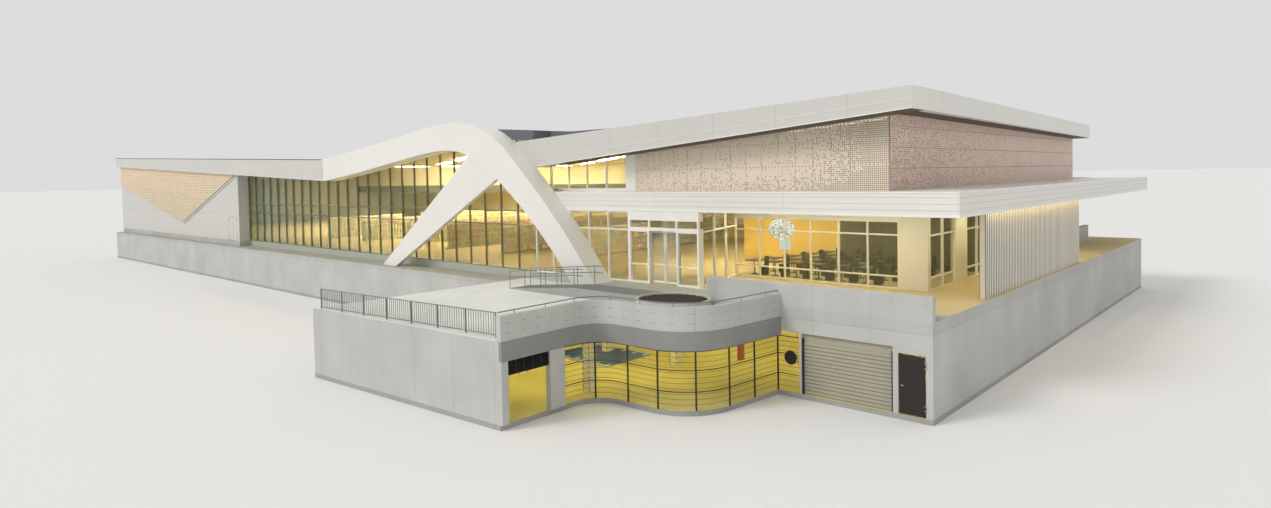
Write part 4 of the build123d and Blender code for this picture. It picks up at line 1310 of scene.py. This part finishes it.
def cafe_ceiling():
    """A tiled ceiling over the rooms behind the canopy, with flat lamps under it and over it."""
    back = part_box("side_walls")[1].y
    left, right = CURTAIN_END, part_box("side_walls")[0].x
    front, low = CANOPY_HIGH.y, CANOPY_LOW.z
    foot, top, thick = low - 0.010, low - 0.004, 0.004
    plate = bar((left, front, foot), (right, back, top), 0.0005)
    keep(plate, "cafe_ceiling", "ceiling")
    lamps = []
    for y in (front + 0.10, front + 0.45, front + 1.15):
        one = bar((left + 0.30, y, low - 0.014), (left + 0.41, y + 0.045, foot), 0.001)
        lamps.append(row(one, 6, (0.27, 0.0, 0.0)))
    one = bar((left + 0.04, front + 0.02, top), (left + 0.16, front + 0.22, low + thick), 0.001)
    lamps.append(row(one, 4, (0.18, 0.0, 0.0)))
    keep(joined(lamps), "cafe_lamps", "lamp")


def cafe_room():
    """The cafe's inner walls and its tables with chairs."""
    top, thick = CANOPY_LOW.z - 0.010, 0.012
    x, y = (3.30, 3.97, 4.76), CAFE_FRONT + 0.78
    bright = bar((x[0], y, STORE), (x[1], y + thick, top), 0.001)
    keep(bright, "cafe_bright_wall", "warm_wall")
    ribs = [bar((x[1], y, STORE), (x[2], y + thick, top), 0.001)]
    rib = bar((x[1] + 0.01, y - 0.004, STORE), (x[1] + 0.022, y, top), 0.0008)
    ribs.append(row(rib, 31, (0.025, 0.0, 0.0)))
    keep(joined(ribs), "cafe_ribbed_wall", "olive_wall")
    seat, table, chair_back = STORE + 0.045, STORE + 0.070, STORE + 0.100
    tables = []
    for offset in (0.06, 0.20, 0.34, 0.48, 0.62):
        left, front = 3.78 + offset * 0.2, CAFE_FRONT + offset
        foot = (left + 0.037, front + 0.037, STORE)
        chair = (left + 0.118, front + 0.05)
        for part in (bar((left, front, table), (left + 0.075, front + 0.075, STORE + 0.076)),
                     rod(foot, 0.003, 0.070),
                     rod(foot, 0.018, 0.003, 16),
                     bar((left + 0.085, front + 0.01, STORE), (*chair, seat), 0.002),
                     bar((left + 0.114, front + 0.01, seat), (*chair, chair_back), 0.001)):
            tables.append(row(part, 6, (0.125, 0.0, 0.0)))
    keep(joined(tables), "cafe_tables", "wood")


def canopy_lamps():
    """Round downlights under the canopies, and a strip light over the ribbed screen."""
    low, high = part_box("screen_wall")
    x = (HALL_RIGHT + low.x) / 2
    thick = 0.003
    foot = CANOPY_LOW.z - thick
    places = [(CURTAIN_END + 1.15 + 0.2 * number, GLASS_FRONT + 0.28) for number in range(5)]
    places += [(x, GLASS_FRONT + 0.62 + 0.30 * number) for number in range(7)]
    spots = [rod((*place, foot), 0.016, thick, 20) for place in places]
    keep(joined(spots), "canopy_downlights", "spot")
    strip = bar((high.x + 0.022, low.y, foot), (high.x + 0.032, high.y, CANOPY_LOW.z), 0.0008)
    keep(strip, "screen_strip_light", "strip")


def cafe_disc():
    """An oval lit disc and a plain plate, hung inside the cafe window; the plate's glow is painted light."""
    middle = Vector((4.033, CAFE_FRONT + 0.036, STORE + 0.246))
    disc = start(bpy.ops.mesh.primitive_uv_sphere_add, segments=40, ring_count=20, radius=1.0,
                 location=middle, scale=(0.076, 0.012, 0.053))
    choose(disc)
    bpy.ops.object.shade_smooth()
    keep(disc, "cafe_disc", "disc")
    reach = CANOPY_LOW.z - 0.010 - middle.z
    plate = bar(middle + Vector((-0.010, -0.003, -0.102)), middle + Vector((0.046, 0.003, -0.051)), 0.0008)
    keep(plate, "cafe_plate", "plate")
    half, width = 0.001, 0.002
    hangers = [bar(middle + Vector((x, -half, low)), middle + Vector((x + width, half, high)), 0.0002)
               for x, low, high in ((-0.03, 0.040, reach), (0.03, 0.040, reach), (0.016, -0.056, -0.040))]
    keep(joined(hangers), "cafe_disc_hangers", "trim")


class MARKET_OT_terrace(bpy.types.Operator):
    """Add the plugged tie holes of the parapet and the wall, and the planter"""
    bl_idname = "market.terrace"
    bl_label = "Terrace details"

    def execute(self, context):
        tie_holes()
        planter()
        return {"FINISHED"}


def plug(place, angle):
    """A shallow plug in a face that runs at an angle from X."""
    return start(bpy.ops.mesh.primitive_cone_add, vertices=8, radius1=0.0026, radius2=0.0016, depth=0.0010,
                 location=place, rotation=(math.radians(90), 0.0, angle))


def tie_holes():
    """Plugged holes in pairs along the parapet's outer face, and along the straight wall."""
    plugs = []
    count, straight, pitch = 19, 5, 0.125
    for number in range(count):
        for shift in (-0.006, 0.006):
            for drop in (0.026, 0.062):
                distance = (number + 0.5) / count * track_length() + shift
                place, heading = on_track(distance, PARAPET_TOP - drop, PARAPET_HALF)
                plugs.append(plug(place, math.atan2(heading.y, heading.x)))
    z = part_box("terrace_parapet")[1].z - 0.030
    for number in range(straight):
        plugs.append(plug((HALL_RIGHT - 0.25 + number * pitch, LEDGE, z), 0.0))
    keep(joined(plugs), "tie_hole_plugs", "hole")


def planter():
    """An oval concrete ring on the terrace, filled with soil."""
    middle, radii, top = Vector((4.03, LEDGE - 0.16)), (0.165, 0.15), STORE + 0.012
    wall, recess, soil_drop, unevenness = 0.012, 0.010, 0.006, 0.004
    ring = start(bpy.ops.mesh.primitive_circle_add, vertices=64, radius=1.0, fill_type="NGON",
                 location=(*middle, DECK), scale=(*radii, 1.0))
    bpy.context.tool_settings.mesh_select_mode = (False, False, True)
    bpy.ops.object.mode_set(mode="EDIT")
    bpy.ops.mesh.select_all(action="SELECT")
    bpy.ops.mesh.extrude_region_move(TRANSFORM_OT_translate={"value": (0.0, 0.0, top - DECK)})
    bpy.ops.mesh.inset(thickness=wall)
    bpy.ops.mesh.extrude_region_move(TRANSFORM_OT_translate={"value": (0.0, 0.0, -recess)})
    bpy.ops.mesh.select_all(action="SELECT")
    bpy.ops.mesh.normals_make_consistent(inside=False)
    bpy.ops.object.mode_set(mode="OBJECT")
    shaped(ring, "BEVEL", width=0.001, segments=2, limit_method="ANGLE")
    keep(ring, "planter_ring", "concrete")
    inner = [radius - wall - 0.001 for radius in radii]
    soil = start(bpy.ops.mesh.primitive_grid_add, x_subdivisions=48, y_subdivisions=32, size=2.0,
                 location=(*middle, top - soil_drop), scale=(*inner, 1.0))

    def outside(place):
        return math.hypot((place.x - middle.x) / inner[0], (place.y - middle.y) / inner[1]) > 1

    delete_faces(soil, outside)
    for vertex in soil.data.vertices:
        vertex.co.z += unevenness * (scatter(round(vertex.co.x * 900), round(vertex.co.y * 900)) - 0.5)
    shaped(soil, "SOLIDIFY", thickness=0.003, offset=-1.0)
    keep(soil, "planter_soil", "soil")


class MARKET_PT_panel(bpy.types.Panel):
    """Shows a button for each operator that builds the pieces of the building"""
    bl_idname = "MARKET_PT_panel"
    bl_label = "Supermarket building"
    bl_space_type = "VIEW_3D"
    bl_region_type = "UI"
    bl_category = "Market"

    def draw(self, context):
        for operator in OPERATORS:
            self.layout.operator(operator.bl_idname)


OPERATORS = (MARKET_OT_stage, MARKET_OT_finishes, MARKET_OT_cladding, MARKET_OT_screen_fins, MARKET_OT_trims,
             MARKET_OT_railings, MARKET_OT_garage, MARKET_OT_doors, MARKET_OT_interior, MARKET_OT_terrace)
GROUPS = {"market_stage": MarketStage, "market_pieces": MarketPieces, "market_colours": MarketColours}
CLASSES = (*GROUPS.values(), *OPERATORS, MARKET_PT_panel)


def register():
    for one in CLASSES:
        bpy.utils.register_class(one)
    for name, group in GROUPS.items():
        setattr(bpy.types.Scene, name, bpy.props.PointerProperty(type=group))


def unregister():
    for name in GROUPS:
        delattr(bpy.types.Scene, name)
    for one in reversed(CLASSES):
        bpy.utils.unregister_class(one)


def main():
    register()
    bpy.ops.object.select_all(action="DESELECT")
    bpy.ops.market.stage()
    bpy.ops.market.finishes()
    bpy.ops.market.cladding()
    bpy.ops.market.screen_fins()
    bpy.ops.market.trims()
    bpy.ops.market.railings()
    bpy.ops.market.garage()
    bpy.ops.market.doors()
    bpy.ops.market.interior()
    bpy.ops.market.terrace()


if __name__ == "__main__":
    main()
